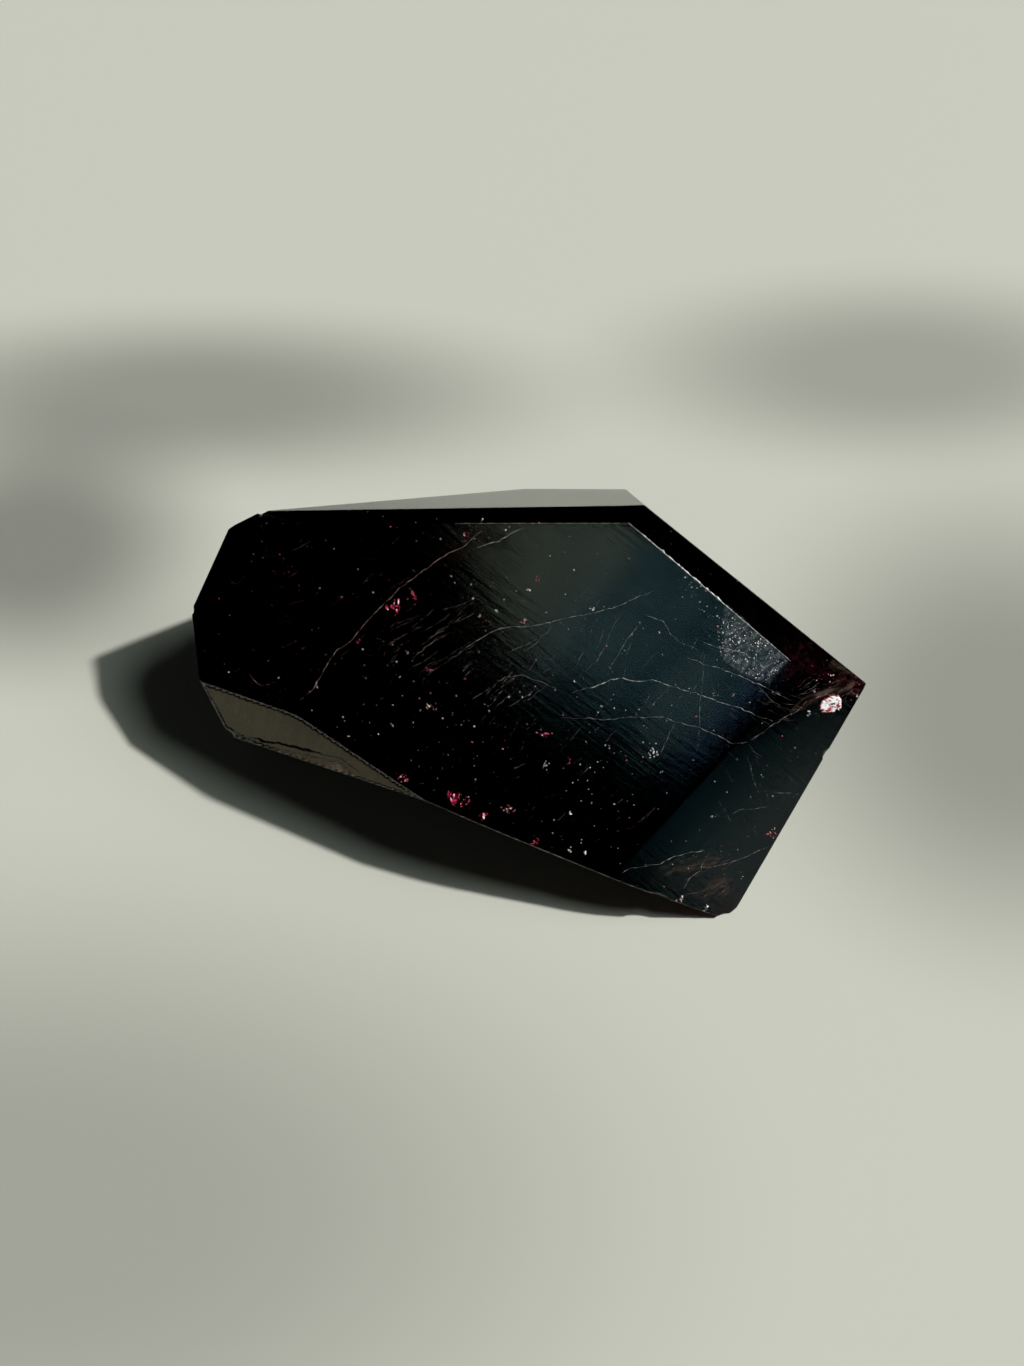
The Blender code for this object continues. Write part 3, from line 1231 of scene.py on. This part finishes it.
class GARNET_OT_edges(bpy.types.Operator):
    """Draw pale lines on the facets' edges: white wear with a painted glint on the chipped crest, a pale line
    on the top facet's back edge, and painted highlights along the front rim and the tip's rim
    """

    bl_idname = "garnet.edges"
    bl_label = "Edge wear and rim highlights"

    def execute(self, context):
        draw = random.Random(EDGE_SEED)
        edge_lines = Chains()
        for ends, spot, width, tone in (
            (CREST_ENDS, RIGHT_BEVEL_SPOT, CREST_WIDTH, CREST_TONE),
            (CREST_BREAK, RIGHT_BEVEL_SPOT, CREST_BREAK_WIDTH, CREST_TONE),
            (BACK_EDGE_ENDS, BACK_BEVEL_SPOT, BACK_EDGE_WIDTH, BACK_EDGE_TONE),
        ):
            edge_lines.add(edge_places(ends, TOP_SPOT, spot, draw), width, tone)
        edge_lines.add(rim_places(FRONT_RIM, FRONT_RIM_REACH, draw), FRONT_RIM_WIDTH, FRONT_RIM_TONE)
        edge_lines.add(rim_places(TIP_RIM, TIP_RIM_REACH, draw), TIP_RIM_WIDTH, TIP_RIM_TONE)
        # one material for the crest's wear and for the painted rim highlights
        material = fragment_material("worn edge", 0.4, 0.3)
        ways = {"Step": LINE_STEP, "Seed": 3.0, "Even": 0.2, "Material": material}
        finish_piece(shaped("worn_edges", edge_lines.mesh("worn_edges"), line_shaper(), ways))
        return {"FINISHED"}


FRONT_CRACK = Line(
    "front crack",
    0.34,
    0.0,
    ((250, 737), (258, 740), (266, 742), (278, 743), (289, 746), (300, 749), (310, 751), (322, 753)),
)
FRONT_CRACK_END = Line(
    "front crack's end",
    0.08,
    0.0,
    ((310, 751), (342, 759), (350, 765), (357, 771), (364, 778)),
)
CRACK_SEED = 71


class GARNET_OT_crack(bpy.types.Operator):
    """Draw the open crack in the front facet"""

    bl_idname = "garnet.crack"
    bl_label = "Front crack"

    def execute(self, context):
        draw = random.Random(CRACK_SEED)
        crack = Chains()
        for line in (FRONT_CRACK, FRONT_CRACK_END):
            crack.add(stone_places(way_through(line.places, draw)), line.width, line.tone)
        ways = {"Step": LINE_STEP, "Seed": 8.0, "Even": 0.6, "Material": crack_material()}
        finish_piece(shaped("front_crack", crack.mesh("front_crack"), line_shaper(), ways))
        return {"FINISHED"}


TRACE_SEED = 5
TRACE_COUNT = 16
TRACE_STEP = 0.5 * MM
TRACE_WIDTH = 0.05
TRACE_TONES = (0.3, 0.8)
TRACE_WANDER = 0.05 * MM
TRACE_SPREAD = Vector((26.0, 18.0, 5.0)) * MM
TRACE_MIDDLE = Vector((0.0, 0.0, 5.0)) * MM


def trace_ends(draw):
    """The ends of each line that a fracture's plane draws on the sides away from the camera."""
    stone = welded_stone()
    place = TRACE_MIDDLE + Vector([part * draw.uniform(-1, 1) for part in TRACE_SPREAD])
    facing = Vector((draw.gauss(0, 1), draw.gauss(0, 1), draw.gauss(0, 0.5))).normalized()
    parts = list(stone.verts) + list(stone.edges) + list(stone.faces)
    cut = bmesh.ops.bisect_plane(stone, geom=parts, dist=WELD, plane_co=place, plane_no=facing)
    forward = camera_axes()[1]
    ends = []
    for edge in cut["geom_cut"]:
        if not isinstance(edge, bmesh.types.BMEdge) or edge.calc_length() < TRACE_STEP * 2:
            continue
        hidden = all(face.normal.dot(forward) > -0.02 for face in edge.link_faces)
        if hidden and min(vertex.co.z for vertex in edge.verts) > ABOVE_FLOOR:
            ends.append([vertex.co.copy() for vertex in edge.verts])
    stone.free()
    return ends


class GARNET_OT_traces(bpy.types.Operator):
    """Draw where fractures come out on the sides away from the camera"""

    bl_idname = "garnet.traces"
    bl_label = "Side traces"

    def execute(self, context):
        draw = random.Random(TRACE_SEED)
        traces = Chains()
        for _ in range(TRACE_COUNT):
            tone = draw.uniform(*TRACE_TONES)
            for start, end in trace_ends(draw):
                count = max(2, round((end - start).length / TRACE_STEP))
                places = []
                for index in range(count + 1):
                    wander = Vector([draw.gauss(0, TRACE_WANDER) for _ in range(3)])
                    places.append(STONE.find_nearest(start.lerp(end, index / count) + wander)[0])
                traces.add(places, TRACE_WIDTH * draw.uniform(0.5, 1.2), tone)
        ways = {"Step": LINE_STEP, "Seed": 5.0, "Material": fragment_material("side trace", 0.45, 0.4)}
        finish_piece(shaped("side_traces", traces.mesh("side_traces"), line_shaper(), ways))
        return {"FINISHED"}


SPARK_SEED = 33
CRIMSON_SEED = 47


class GARNET_OT_sparks(bpy.types.Operator):
    """Set the bright flakes and specks in the facets"""

    bl_idname = "garnet.sparks"
    bl_label = "Bright flakes"

    def execute(self, context):
        draw = random.Random(SPARK_SEED)
        specks = Specks()
        add_clusters(specks, SPARKS, draw)
        add_fields(specks, FIELDS, draw)
        material = fragment_material("bright flake", 0.18, 0.6)
        ways = {"Shape": (1.0, 0.7, 0.4), "Tilt": 0.6, "Seed": 1, "Material": material}
        finish_piece(shaped("bright_flakes", specks.mesh("bright_flakes"), flake_shaper(), ways))
        return {"FINISHED"}


class GARNET_OT_crimson(bpy.types.Operator):
    """Set the crimson flakes just under the facets"""

    bl_idname = "garnet.crimson"
    bl_label = "Crimson flakes"

    def execute(self, context):
        draw = random.Random(CRIMSON_SEED)
        specks = Specks()
        add_clusters(specks, CRIMSONS, draw)
        material = fragment_material("crimson flake", 0.22, 0.35)
        ways = {"Shape": (1.3, 0.5, 0.15), "Tilt": 0.7, "Seed": 4, "Material": material}
        finish_piece(shaped("crimson_flakes", specks.mesh("crimson_flakes"), flake_shaper(), ways))
        return {"FINISHED"}


class GARNET_OT_specks(bpy.types.Operator):
    """Strew fine specks over every side of the stone"""

    bl_idname = "garnet.specks"
    bl_label = "Specks all over"

    def execute(self, context):
        values = garnet_settings()
        ways = {
            "Density": values.speck_density,
            "Size": 0.05 * MM,
            "Shape": (1.0, 0.7, 0.4),
            "Tilt": 0.5,
            "Seed": values.seed,
            "Material": fragment_material("fine speck", 0.3, 0.5),
        }
        sides = bmesh.new()
        sides.from_mesh(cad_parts[NODE].data)
        low = [face for face in sides.faces if min(vertex.co.z for vertex in face.verts) < ABOVE_FLOOR]
        bmesh.ops.delete(sides, geom=low, context="FACES")
        mesh = bpy.data.meshes.new("sides")
        sides.to_mesh(mesh)
        sides.free()
        finish_piece(shaped("fine_specks", mesh, scatter_shaper(), ways))
        return {"FINISHED"}


class Veil(NamedTuple):
    """A sheet on the stone: its outline in pixels, depth, soft rim, and what its material asks for."""

    name: str
    outline: tuple
    depth: float
    rim: float
    material: tuple


# Sheet colours; WINE_BLACK, WINE and ROSE_WINE paint the glow of light through the thin tip
WINE_BLACK = (0.003, 0.0006, 0.001, 1.0)
WINE_DARK = (0.012, 0.0015, 0.003, 1.0)
WINE = (0.030, 0.004, 0.008, 1.0)
ROSE_WINE = (0.26, 0.09, 0.11, 1.0)
PINK_BROWN = (0.24, 0.15, 0.115, 1.0)
DARK_BROWN = (0.035, 0.017, 0.015, 1.0)
OLIVE = (0.060, 0.044, 0.026, 1.0)
DARK_OLIVE = (0.010, 0.006, 0.004, 1.0)
FROST = (0.55, 0.60, 0.62, 1.0)
FROST_DARK = (0.20, 0.25, 0.27, 1.0)
ROSE_GREY = (0.17, 0.12, 0.09, 1.0)
CREAM = (0.75, 0.56, 0.44, 1.0)
CLAY = (0.50, 0.37, 0.28, 1.0)
GREEN_WHITE = (0.62, 0.68, 0.58, 1.0)
GREEN_GREY = (0.12, 0.15, 0.12, 1.0)

VEILS = (
    # The tip's first two sheets are painted light: dark wine over the end of the right bevel and rose at the
    # tip, standing in for the glow of light through the thin stone
    Veil(
        "tip_painted_glow",
        (
            (775, 620), (790, 622), (826, 646), (866, 671), (870, 682), (860, 700), (838, 704), (806, 704),
            (780, 680),
        ),
        0.0,
        12.0,
        (WINE_BLACK, WINE, (0.0, 0.0, 0.6), (0.005, 0.0016, 0.002), (0.9, 0.97)),
    ),
    Veil(
        "tip_rose",
        ((844, 668), (850, 662), (868, 671), (870, 682), (860, 700), (846, 698), (850, 682)),
        -0.005,
        6.0,
        (WINE, ROSE_WINE, (0.0, 0.0, -0.5), (0.003, 0.0005, 0.001), (0.2, 0.8)),
    ),
    Veil(
        "tip_veil",
        (
            (778, 724), (800, 697), (823, 683), (843, 675), (858, 682), (852, 694), (838, 699), (820, 704),
            (800, 714),
        ),
        -0.01,
        5.0,
        (DARK_BROWN, PINK_BROWN, (0.0, 0.0, 0.5), (0.0030, 0.0006, 0.001), (0.08, 0.65)),
    ),
    Veil(
        "tip_lump",
        ((826, 665), (830, 659), (842, 659), (851, 666), (853, 673), (846, 677), (836, 674), (829, 671)),
        -0.02,
        2.5,
        (DARK_OLIVE, OLIVE, (0.0, 0.0, 0.3), (0.0009, 0.0006, 0.001), (0.4, 0.85)),
    ),
    Veil(
        "low_corner_veil",
        (
            (628, 872), (660, 865), (704, 852), (716, 850), (728, 866), (738, 902), (716, 908), (672, 892),
            (640, 880),
        ),
        -0.01,
        9.0,
        (DARK_BROWN, ROSE_GREY, (0.0, 0.0, 0.5), (0.0035, 0.0008, 0.001), (0.05, 0.30)),
    ),
    Veil(
        "olive_haze",
        ((440, 640), (452, 612), (480, 606), (500, 618), (492, 634), (470, 645), (450, 655)),
        0.0,
        14.0,
        (DARK_OLIVE, OLIVE, (0.0, 0.0, 0.5), (0.003, 0.0012, 0.002), (0.2, 0.4)),
    ),
    Veil(
        "upper_haze",
        ((430, 560), (445, 528), (520, 526), (505, 552), (470, 565), (445, 575)),
        0.0,
        16.0,
        (WINE_DARK, ROSE_GREY, (0.0, 0.0, 0.5), (0.002, 0.0008, 0.002), (0.1, 0.3)),
    ),
    Veil(
        "frosted_corner",
        ((722, 604), (730, 604), (791, 660), (770, 686), (744, 678), (722, 662)),
        -0.005,
        3.0,
        (FROST_DARK, FROST, (0.0, 0.0, 0.7), (0.0008, 0.0004, 0.001), (0.16, 0.22)),
    ),
    Veil(
        "front_strip",
        (
            (250, 743), (262, 744), (289, 749), (310, 754), (342, 762), (364, 780), (400, 792), (425, 808),
            (340, 786),
        ),
        -0.015,
        2.0,
        (CLAY, CREAM, (0.0, 0.0, 0.0), (0.0030, 0.0012, 0.001), (0.6, 0.85)),
    ),
    Veil(
        "front_corner_crust",
        ((222, 726), (236, 730), (250, 737), (258, 743), (252, 747), (244, 744), (232, 738), (222, 730)),
        -0.03,
        1.5,
        (GREEN_GREY, GREEN_WHITE, (0.0, 0.0, 0.5), (0.0006, 0.0004, 0.0006), (0.5, 0.9)),
    ),
)

# Sheets that have materials of their own: an outline, a depth in millimetres and a soft rim in pixels
FRONT_FILM = (
    (198, 676), (212, 680), (260, 690), (300, 705), (345, 728), (385, 758), (440, 806), (340, 786),
    (250, 750), (216, 736),
)
FRONT_FILM_DEPTH = -0.002
FRONT_FILM_RIM = 1.0
RAINBOW = (
    (817, 706), (822, 698), (832, 693), (842, 696), (844, 705), (838, 713), (828, 715), (819, 712),
)
RAINBOW_DEPTH = -0.03
RAINBOW_RIM = 8.0

VEIL_CELL = 2.2
VEIL_THICKNESS = 0.02 * MM
SAME_FACET = 0.999


def sheet_mesh(name, outline, depth, rim, spot):
    """A fine grid laid on the stone within an outline of pixels, with how far it fades on each point.

    A spot is a pixel of the one facet that the grid keeps to, if it keeps to one.
    """
    columns = [corner[0] for corner in outline]
    rows = [corner[1] for corner in outline]
    wide = math.ceil((max(columns) - min(columns)) / VEIL_CELL)
    high = math.ceil((max(rows) - min(rows)) / VEIL_CELL)
    bm = bmesh.new()
    points = {}
    fades = {}
    for row in range(high + 1):
        for column in range(wide + 1):
            pixel = (min(columns) + column * VEIL_CELL, min(rows) + row * VEIL_CELL)
            seen = seen_on_stone(pixel) if inside(pixel, outline) else None
            if seen and spot and seen[1].dot(on_stone(spot)[1]) < SAME_FACET:
                seen = None
            if seen:
                corner = bm.verts.new(seen[0] - seen[1] * depth * MM)
                points[column, row] = corner
                fades[corner] = min(1.0, rim_distance(pixel, outline) / rim)
    for (column, row), corner in points.items():
        ring = [points.get(key) for key in ((column, row + 1), (column + 1, row + 1), (column + 1, row))]
        if all(ring):
            bm.faces.new((corner, *ring))
    kept = [fades[vertex] for vertex in bm.verts if vertex.link_faces]
    bmesh.ops.delete(bm, geom=[vertex for vertex in bm.verts if not vertex.link_faces], context="VERTS")
    mesh = bpy.data.meshes.new(name)
    bm.to_mesh(mesh)
    bm.free()
    set_point_values(mesh, "fade", kept)
    return mesh


def add_sheet(name, outline, depth, rim, material, spot=None):
    """Lay one thin sheet on the stone, as a finished piece."""
    mesh = sheet_mesh(name, outline, depth, rim, spot)
    mesh.shade_smooth()
    piece = new_object(name, mesh, material)
    thick = piece.modifiers.new("thickness", "SOLIDIFY")
    thick.thickness = VEIL_THICKNESS
    thick.offset = -1.0
    finish_piece(piece)


class GARNET_OT_veils(bpy.types.Operator):
    """Lay the fracture sheets on and under the facets, and the sheets of painted light: the tip's glow, the
    front facet's reflection and the rainbow's glint
    """

    bl_idname = "garnet.veils"
    bl_label = "Fracture veils and painted light"

    def execute(self, context):
        for veil in VEILS:
            material = veil_material(veil.name.replace("_", " "), *veil.material)
            add_sheet(veil.name, veil.outline, veil.depth, veil.rim, material)
        add_sheet("front_film", FRONT_FILM, FRONT_FILM_DEPTH, FRONT_FILM_RIM, front_material(), FRONT_SPOT)
        add_sheet("rainbow_fracture", RAINBOW, RAINBOW_DEPTH, RAINBOW_RIM, rainbow_material())
        return {"FINISHED"}


# The lamp cards: each is seen only in its own facet, and its map counts the photograph's frame in thousands

CARD_DISTANCE = 0.5
CARD_STEPS = 16
CARD_STRENGTH = 1.4
CARD_GRAIN_TURN = (0.0, 0.0, -0.5)
CARD_GRAIN_SIZE = (0.012, 0.0045, 0.01)

# The dark band between the top facet and the right one: a pixel on its right rim, and the way across it
BAND_PLACE = (762, 734)
BAND_ACROSS = (0.747, 0.664)
RIDGE_END = 30.0
RIDGE_WIDTH = 45.0

TOP_CARD = ((425, 480), (880, 549), (610, 882), (415, 700))
RIGHT_CARD = ((800, 680), (900, 745), (740, 945), (634, 866))
BLACK = (0.0, 0.0, 0.0, 1.0)


def ridge_share(pixel):
    """How far the soft ridge has turned from the right facet to the top one at a pixel."""
    across = BAND_ACROSS[0] * (pixel[0] - BAND_PLACE[0]) + BAND_ACROSS[1] * (pixel[1] - BAND_PLACE[1])
    return min(1.0, max(0.0, (RIDGE_END - across) / RIDGE_WIDTH))


def card_mesh(name, corners, spot):
    """A card that shows, mirrored, over the given corners in the facet at a spot."""
    eye = camera_axes()[0]
    steps = CARD_STEPS
    top_normal = on_stone(TOP_SPOT)[1]
    right_normal = on_stone(RIGHT_TOP_SPOT)[1]
    bm = bmesh.new()
    uv_layer = bm.loops.layers.uv.new("card")
    rows = []
    for row in range(steps + 1):
        line = []
        for column in range(steps + 1):
            upper = Vector(corners[0]).lerp(Vector(corners[1]), column / steps)
            lower = Vector(corners[3]).lerp(Vector(corners[2]), column / steps)
            pixel = upper.lerp(lower, row / steps)
            share = 1.0 if spot == TOP_SPOT else ridge_share(pixel)
            normal = right_normal.slerp(top_normal, share)
            place = on_stone(spot)[0]
            ray = photo_ray(pixel)
            hit = eye + ray * ((place - eye).dot(normal) / ray.dot(normal))
            mirrored = ray - 2.0 * ray.dot(normal) * normal
            line.append((bm.verts.new(hit + mirrored * CARD_DISTANCE), pixel / 1000))
        rows.append(line)
    for upper, lower in zip(rows, rows[1:]):
        for left, right in zip(range(steps), range(1, steps + 1)):
            ring = (upper[left], upper[right], lower[right], lower[left])
            face = bm.faces.new([corner[0] for corner in ring])
            for loop, corner in zip(face.loops, ring):
                loop[uv_layer].uv = corner[1]
    mesh = bpy.data.meshes.new(name)
    bm.to_mesh(mesh)
    bm.free()
    return mesh


def card_material(name, shade):
    """A lamp card's light, from its own map."""
    material, start, output = new_material(name)
    across = start.node("ShaderNodeTexCoord", output=2)
    x = start.node("ShaderNodeSeparateXYZ", {}, {0: across}, output=0)
    y = start.node("ShaderNodeSeparateXYZ", {}, {0: across}, output=1)
    band = x * BAND_ACROSS[0] + y * BAND_ACROSS[1]
    band = band - (BAND_PLACE[0] * BAND_ACROSS[0] + BAND_PLACE[1] * BAND_ACROSS[1]) / 1000
    patches = noise(start, across, 26.0, 3.0, 0.6, 0.4)
    grain = noise(start, stretched(start, across, CARD_GRAIN_TURN, CARD_GRAIN_SIZE), 1.0, 3.0, 0.6)
    colour = (grain.step(0.30, 0.66) * 0.6 + 0.4).mix(BLACK, shade(x, y, band, patches))
    glow = start.node("ShaderNodeEmission", {}, {"Color": colour, "Strength": CARD_STRENGTH})
    return close_material(material, output, glow)


def top_card_shade(x, y, band, patches):
    """Grey-green at the upper left, blue to the right and below, navy by the band, dark past its edges."""
    green = (0.310, 0.375, 0.285, 1.0)
    corner_green = (0.340, 0.450, 0.350, 1.0)
    blue = (0.165, 0.310, 0.325, 1.0)
    navy = (0.075, 0.16, 0.30, 1.0)
    deep = (0.020, 0.120, 0.170, 1.0)
    mixed = (x + y * 0.5 + patches * 0.06).step(0.825, 0.965).mix(green, blue)
    mixed = (patches.step(0.56, 0.36) * (x + y * 0.5).step(0.85, 0.93)).mix(mixed, deep)
    mixed = (band + patches * 0.01).step(-0.050, -0.036).mix(mixed, navy)
    corner = (x - 0.612) * (x - 0.612) + (y - 0.545) * (y - 0.545)
    mixed = corner.step(0.0016, 0.0001).mix(mixed, corner_green)
    left = (x - y * 0.25 + patches * 0.06).step(0.350, 0.425)
    diagonal = x * 0.463 - y * 0.888 - (490 * 0.463 - 640 * 0.888) / 1000
    lower = (diagonal + patches * 0.05).step(-0.018, 0.085)
    light = left * lower * band.step(-0.030, -0.037) * (patches.step(0.25, 0.65) * 0.5 + 0.70)
    return light.mix(BLACK, mixed)


def right_card_shade(x, y, band, patches):
    """Deep teal by the band, greyer to the lower right."""
    deep = (0.010, 0.048, 0.058, 1.0)
    teal = (0.075, 0.140, 0.140, 1.0)
    grey = (0.165, 0.220, 0.212, 1.0)
    mixed = (band + patches * 0.02).step(0.0, 0.036).mix(deep, teal)
    mixed = band.step(0.028, 0.064).mix(mixed, grey)
    light = (band + patches * 0.01).step(-0.010, 0.004) * (patches.step(0.25, 0.7) * 0.35 + 0.78)
    under_vein = x * 0.517 + y * 0.856 - (759 * 0.517 + 738 * 0.856) / 1000
    light = light * under_vein.step(-0.004, 0.005) * (y.step(0.735, 0.80) * 0.45 + 0.55)
    return light.mix(BLACK, mixed)


def make_cards():
    cards = (
        ("top card", TOP_CARD, TOP_SPOT, top_card_shade),
        ("right card", RIGHT_CARD, RIGHT_TOP_SPOT, right_card_shade),
    )
    for name, corners, spot, shade in cards:
        card = new_object(name, card_mesh(name, corners, spot), card_material(name, shade))
        card.visible_camera = False
        card.visible_diffuse = False
        card.visible_shadow = False


def make_camera():
    eye, forward, _, _ = camera_axes()
    lens = bpy.data.cameras.new("camera")
    lens.lens = LENS
    lens.sensor_width = SENSOR
    lens.clip_start = 0.01
    camera = bpy.data.objects.new("camera", lens)
    camera.location = eye
    camera.rotation_euler = forward.to_track_quat("-Z", "Y").to_euler()
    bpy.context.scene.collection.objects.link(camera)
    bpy.context.scene.camera = camera


FLOOR_SIZE = 6.0
FLOOR_DROP = 0.03 * MM
# Painted shade: the floor far from the stone is darker and warmer, beyond the pool of light round it
FAR_FLOOR_SHADE = (0.50, 0.48, 0.33, 1.0)
FAR_FLOOR_REACH = (0.2, 0.45)

# How far a shade fades, in shares of its reach
SHADE_RIM = (1.7, 0.3)


class Shade(NamedTuple):
    """A soft oval of dimmer light on the floor: its middle and reach in millimetres, and the share taken."""

    middle: tuple
    reach: tuple
    share: float


SHADES = (
    Shade((-36.0, 39.0), (30.0, 9.0), 0.50),
    Shade((40.0, 43.0), (24.0, 10.0), 0.42),
    Shade((48.0, -2.0), (20.0, 22.0), 0.50),
    Shade((-51.0, 19.0), (14.0, 13.0), 0.60),
    Shade((-46.0, -56.0), (44.0, 26.0), 0.38),
)


def make_floor(values):
    """A pale matt floor with painted light on it: soft ovals of dimmer light, and painted shade, darker and
    warmer, far from the stone.
    """
    material, start, output = new_material("pale floor")
    place = object_place(start)
    reach = start.node("ShaderNodeVectorMath", {"operation": "LENGTH"}, {0: place}, output=1)
    light = 1.0
    for shade in SHADES:
        frame_of_oval = {
            "Vector": place,
            "Location": tuple(part * MM for part in shade.middle) + (0.0,),
            "Scale": tuple(part * MM for part in shade.reach) + (1.0,),
        }
        oval = start.node("ShaderNodeMapping", {"vector_type": "TEXTURE"}, frame_of_oval)
        far = start.node("ShaderNodeVectorMath", {"operation": "LENGTH"}, {0: oval}, output=1)
        light = (1.0 - far.step(*SHADE_RIM) * shade.share) * light
    colour = light.mix(BLACK, (*values.floor_colour, 1.0))
    colour = reach.step(*FAR_FLOOR_REACH).mix(colour, FAR_FLOOR_SHADE)
    close_material(material, output, surface(start, {"Base Color": colour, "Roughness": 0.75}))
    bm = bmesh.new()
    bmesh.ops.create_grid(bm, x_segments=1, y_segments=1, size=FLOOR_SIZE / 2)
    bmesh.ops.translate(bm, verts=bm.verts, vec=(0.0, 0.0, -FLOOR_DROP))
    mesh = bpy.data.meshes.new("floor")
    bm.to_mesh(mesh)
    bm.free()
    new_object("floor", mesh, material)


def make_sun(values):
    """The sun, and the wide cool glow round it that fills the shadow from its outer rim inwards."""
    lamps = (
        ("sun", values.sun_strength, SUN_WIDTH, (1.0, 0.99, 0.96)),
        ("glow", values.sun_strength * GLOW_SHARE, GLOW_WIDTH, (0.86, 1.0, 0.95)),
    )
    for name, strength, width, colour in lamps:
        lamp = bpy.data.lights.new(name, "SUN")
        lamp.energy = strength
        lamp.angle = width
        lamp.color = colour
        sun = bpy.data.objects.new(name, lamp)
        sun.rotation_euler = SHADOW_REACH.to_track_quat("-Z", "Y").to_euler()
        bpy.context.scene.collection.objects.link(sun)


# The room's light overhead and low on its walls, and the heights that it fades between
ROOM_DARK = (0.0008, 0.0008, 0.0008, 1.0)
ROOM_GLOW = (0.060, 0.066, 0.060, 1.0)
ROOM_FADE = (0.52, 0.25)


def make_world():
    """A dark room with a soft glow low on the walls, so that only the shadow's outer part is filled."""
    world = bpy.data.worlds.new("dark room")
    world.use_nodes = True
    world.node_tree.nodes.clear()
    output = world.node_tree.nodes.new("ShaderNodeOutputWorld")
    start = Wire(world.node_tree)
    direction = start.node("ShaderNodeTexCoord", output=0)
    height = start.node("ShaderNodeSeparateXYZ", {}, {0: direction}, output=2)
    colour = height.step(*ROOM_FADE).mix(ROOM_DARK, ROOM_GLOW)
    background = start.node("ShaderNodeBackground", {}, {"Color": colour, "Strength": 1.0})
    world.node_tree.links.new(background.socket, output.inputs["Surface"])
    bpy.context.scene.world = world


def set_view():
    scene = bpy.context.scene
    scene.view_settings.view_transform = "Standard"
    scene.view_settings.look = "None"
    scene.cycles.max_bounces = 16
    scene.cycles.transmission_bounces = 12
    scene.cycles.transparent_max_bounces = 24
    scene.cycles.caustics_reflective = False
    scene.cycles.caustics_refractive = False


class GARNET_OT_stage(bpy.types.Operator):
    """Set up the floor, the light and the camera"""

    bl_idname = "garnet.stage"
    bl_label = "Stage"

    def execute(self, context):
        make_camera()
        make_floor(garnet_settings())
        make_sun(garnet_settings())
        make_world()
        make_cards()
        set_view()
        return {"FINISHED"}


OPERATORS = (
    GARNET_OT_stone,
    GARNET_OT_lines,
    GARNET_OT_edges,
    GARNET_OT_crack,
    GARNET_OT_traces,
    GARNET_OT_sparks,
    GARNET_OT_crimson,
    GARNET_OT_specks,
    GARNET_OT_veils,
    GARNET_OT_stage,
)


class GARNET_PT_panel(bpy.types.Panel):
    """The garnet's pieces and settings"""

    bl_idname = "GARNET_PT_panel"
    bl_label = "Garnet crystal"
    bl_space_type = "VIEW_3D"
    bl_region_type = "UI"
    bl_category = "Garnet"

    def draw(self, context):
        for name in GarnetSettings.__annotations__:
            self.layout.prop(context.scene.garnet_settings, name)
        for operator in OPERATORS:
            self.layout.operator(operator.bl_idname)


CLASSES = (GarnetSettings, *OPERATORS, GARNET_PT_panel)


def register():
    for new_class in CLASSES:
        bpy.utils.register_class(new_class)
    bpy.types.Scene.garnet_settings = PointerProperty(type=GarnetSettings)


def unregister():
    del bpy.types.Scene.garnet_settings
    for old_class in reversed(CLASSES):
        bpy.utils.unregister_class(old_class)


def main():
    register()
    bpy.ops.garnet.stone()
    bpy.ops.garnet.lines()
    bpy.ops.garnet.edges()
    bpy.ops.garnet.crack()
    bpy.ops.garnet.traces()
    bpy.ops.garnet.sparks()
    bpy.ops.garnet.crimson()
    bpy.ops.garnet.specks()
    bpy.ops.garnet.veils()
    bpy.ops.garnet.stage()


if __name__ == "__main__":
    main()
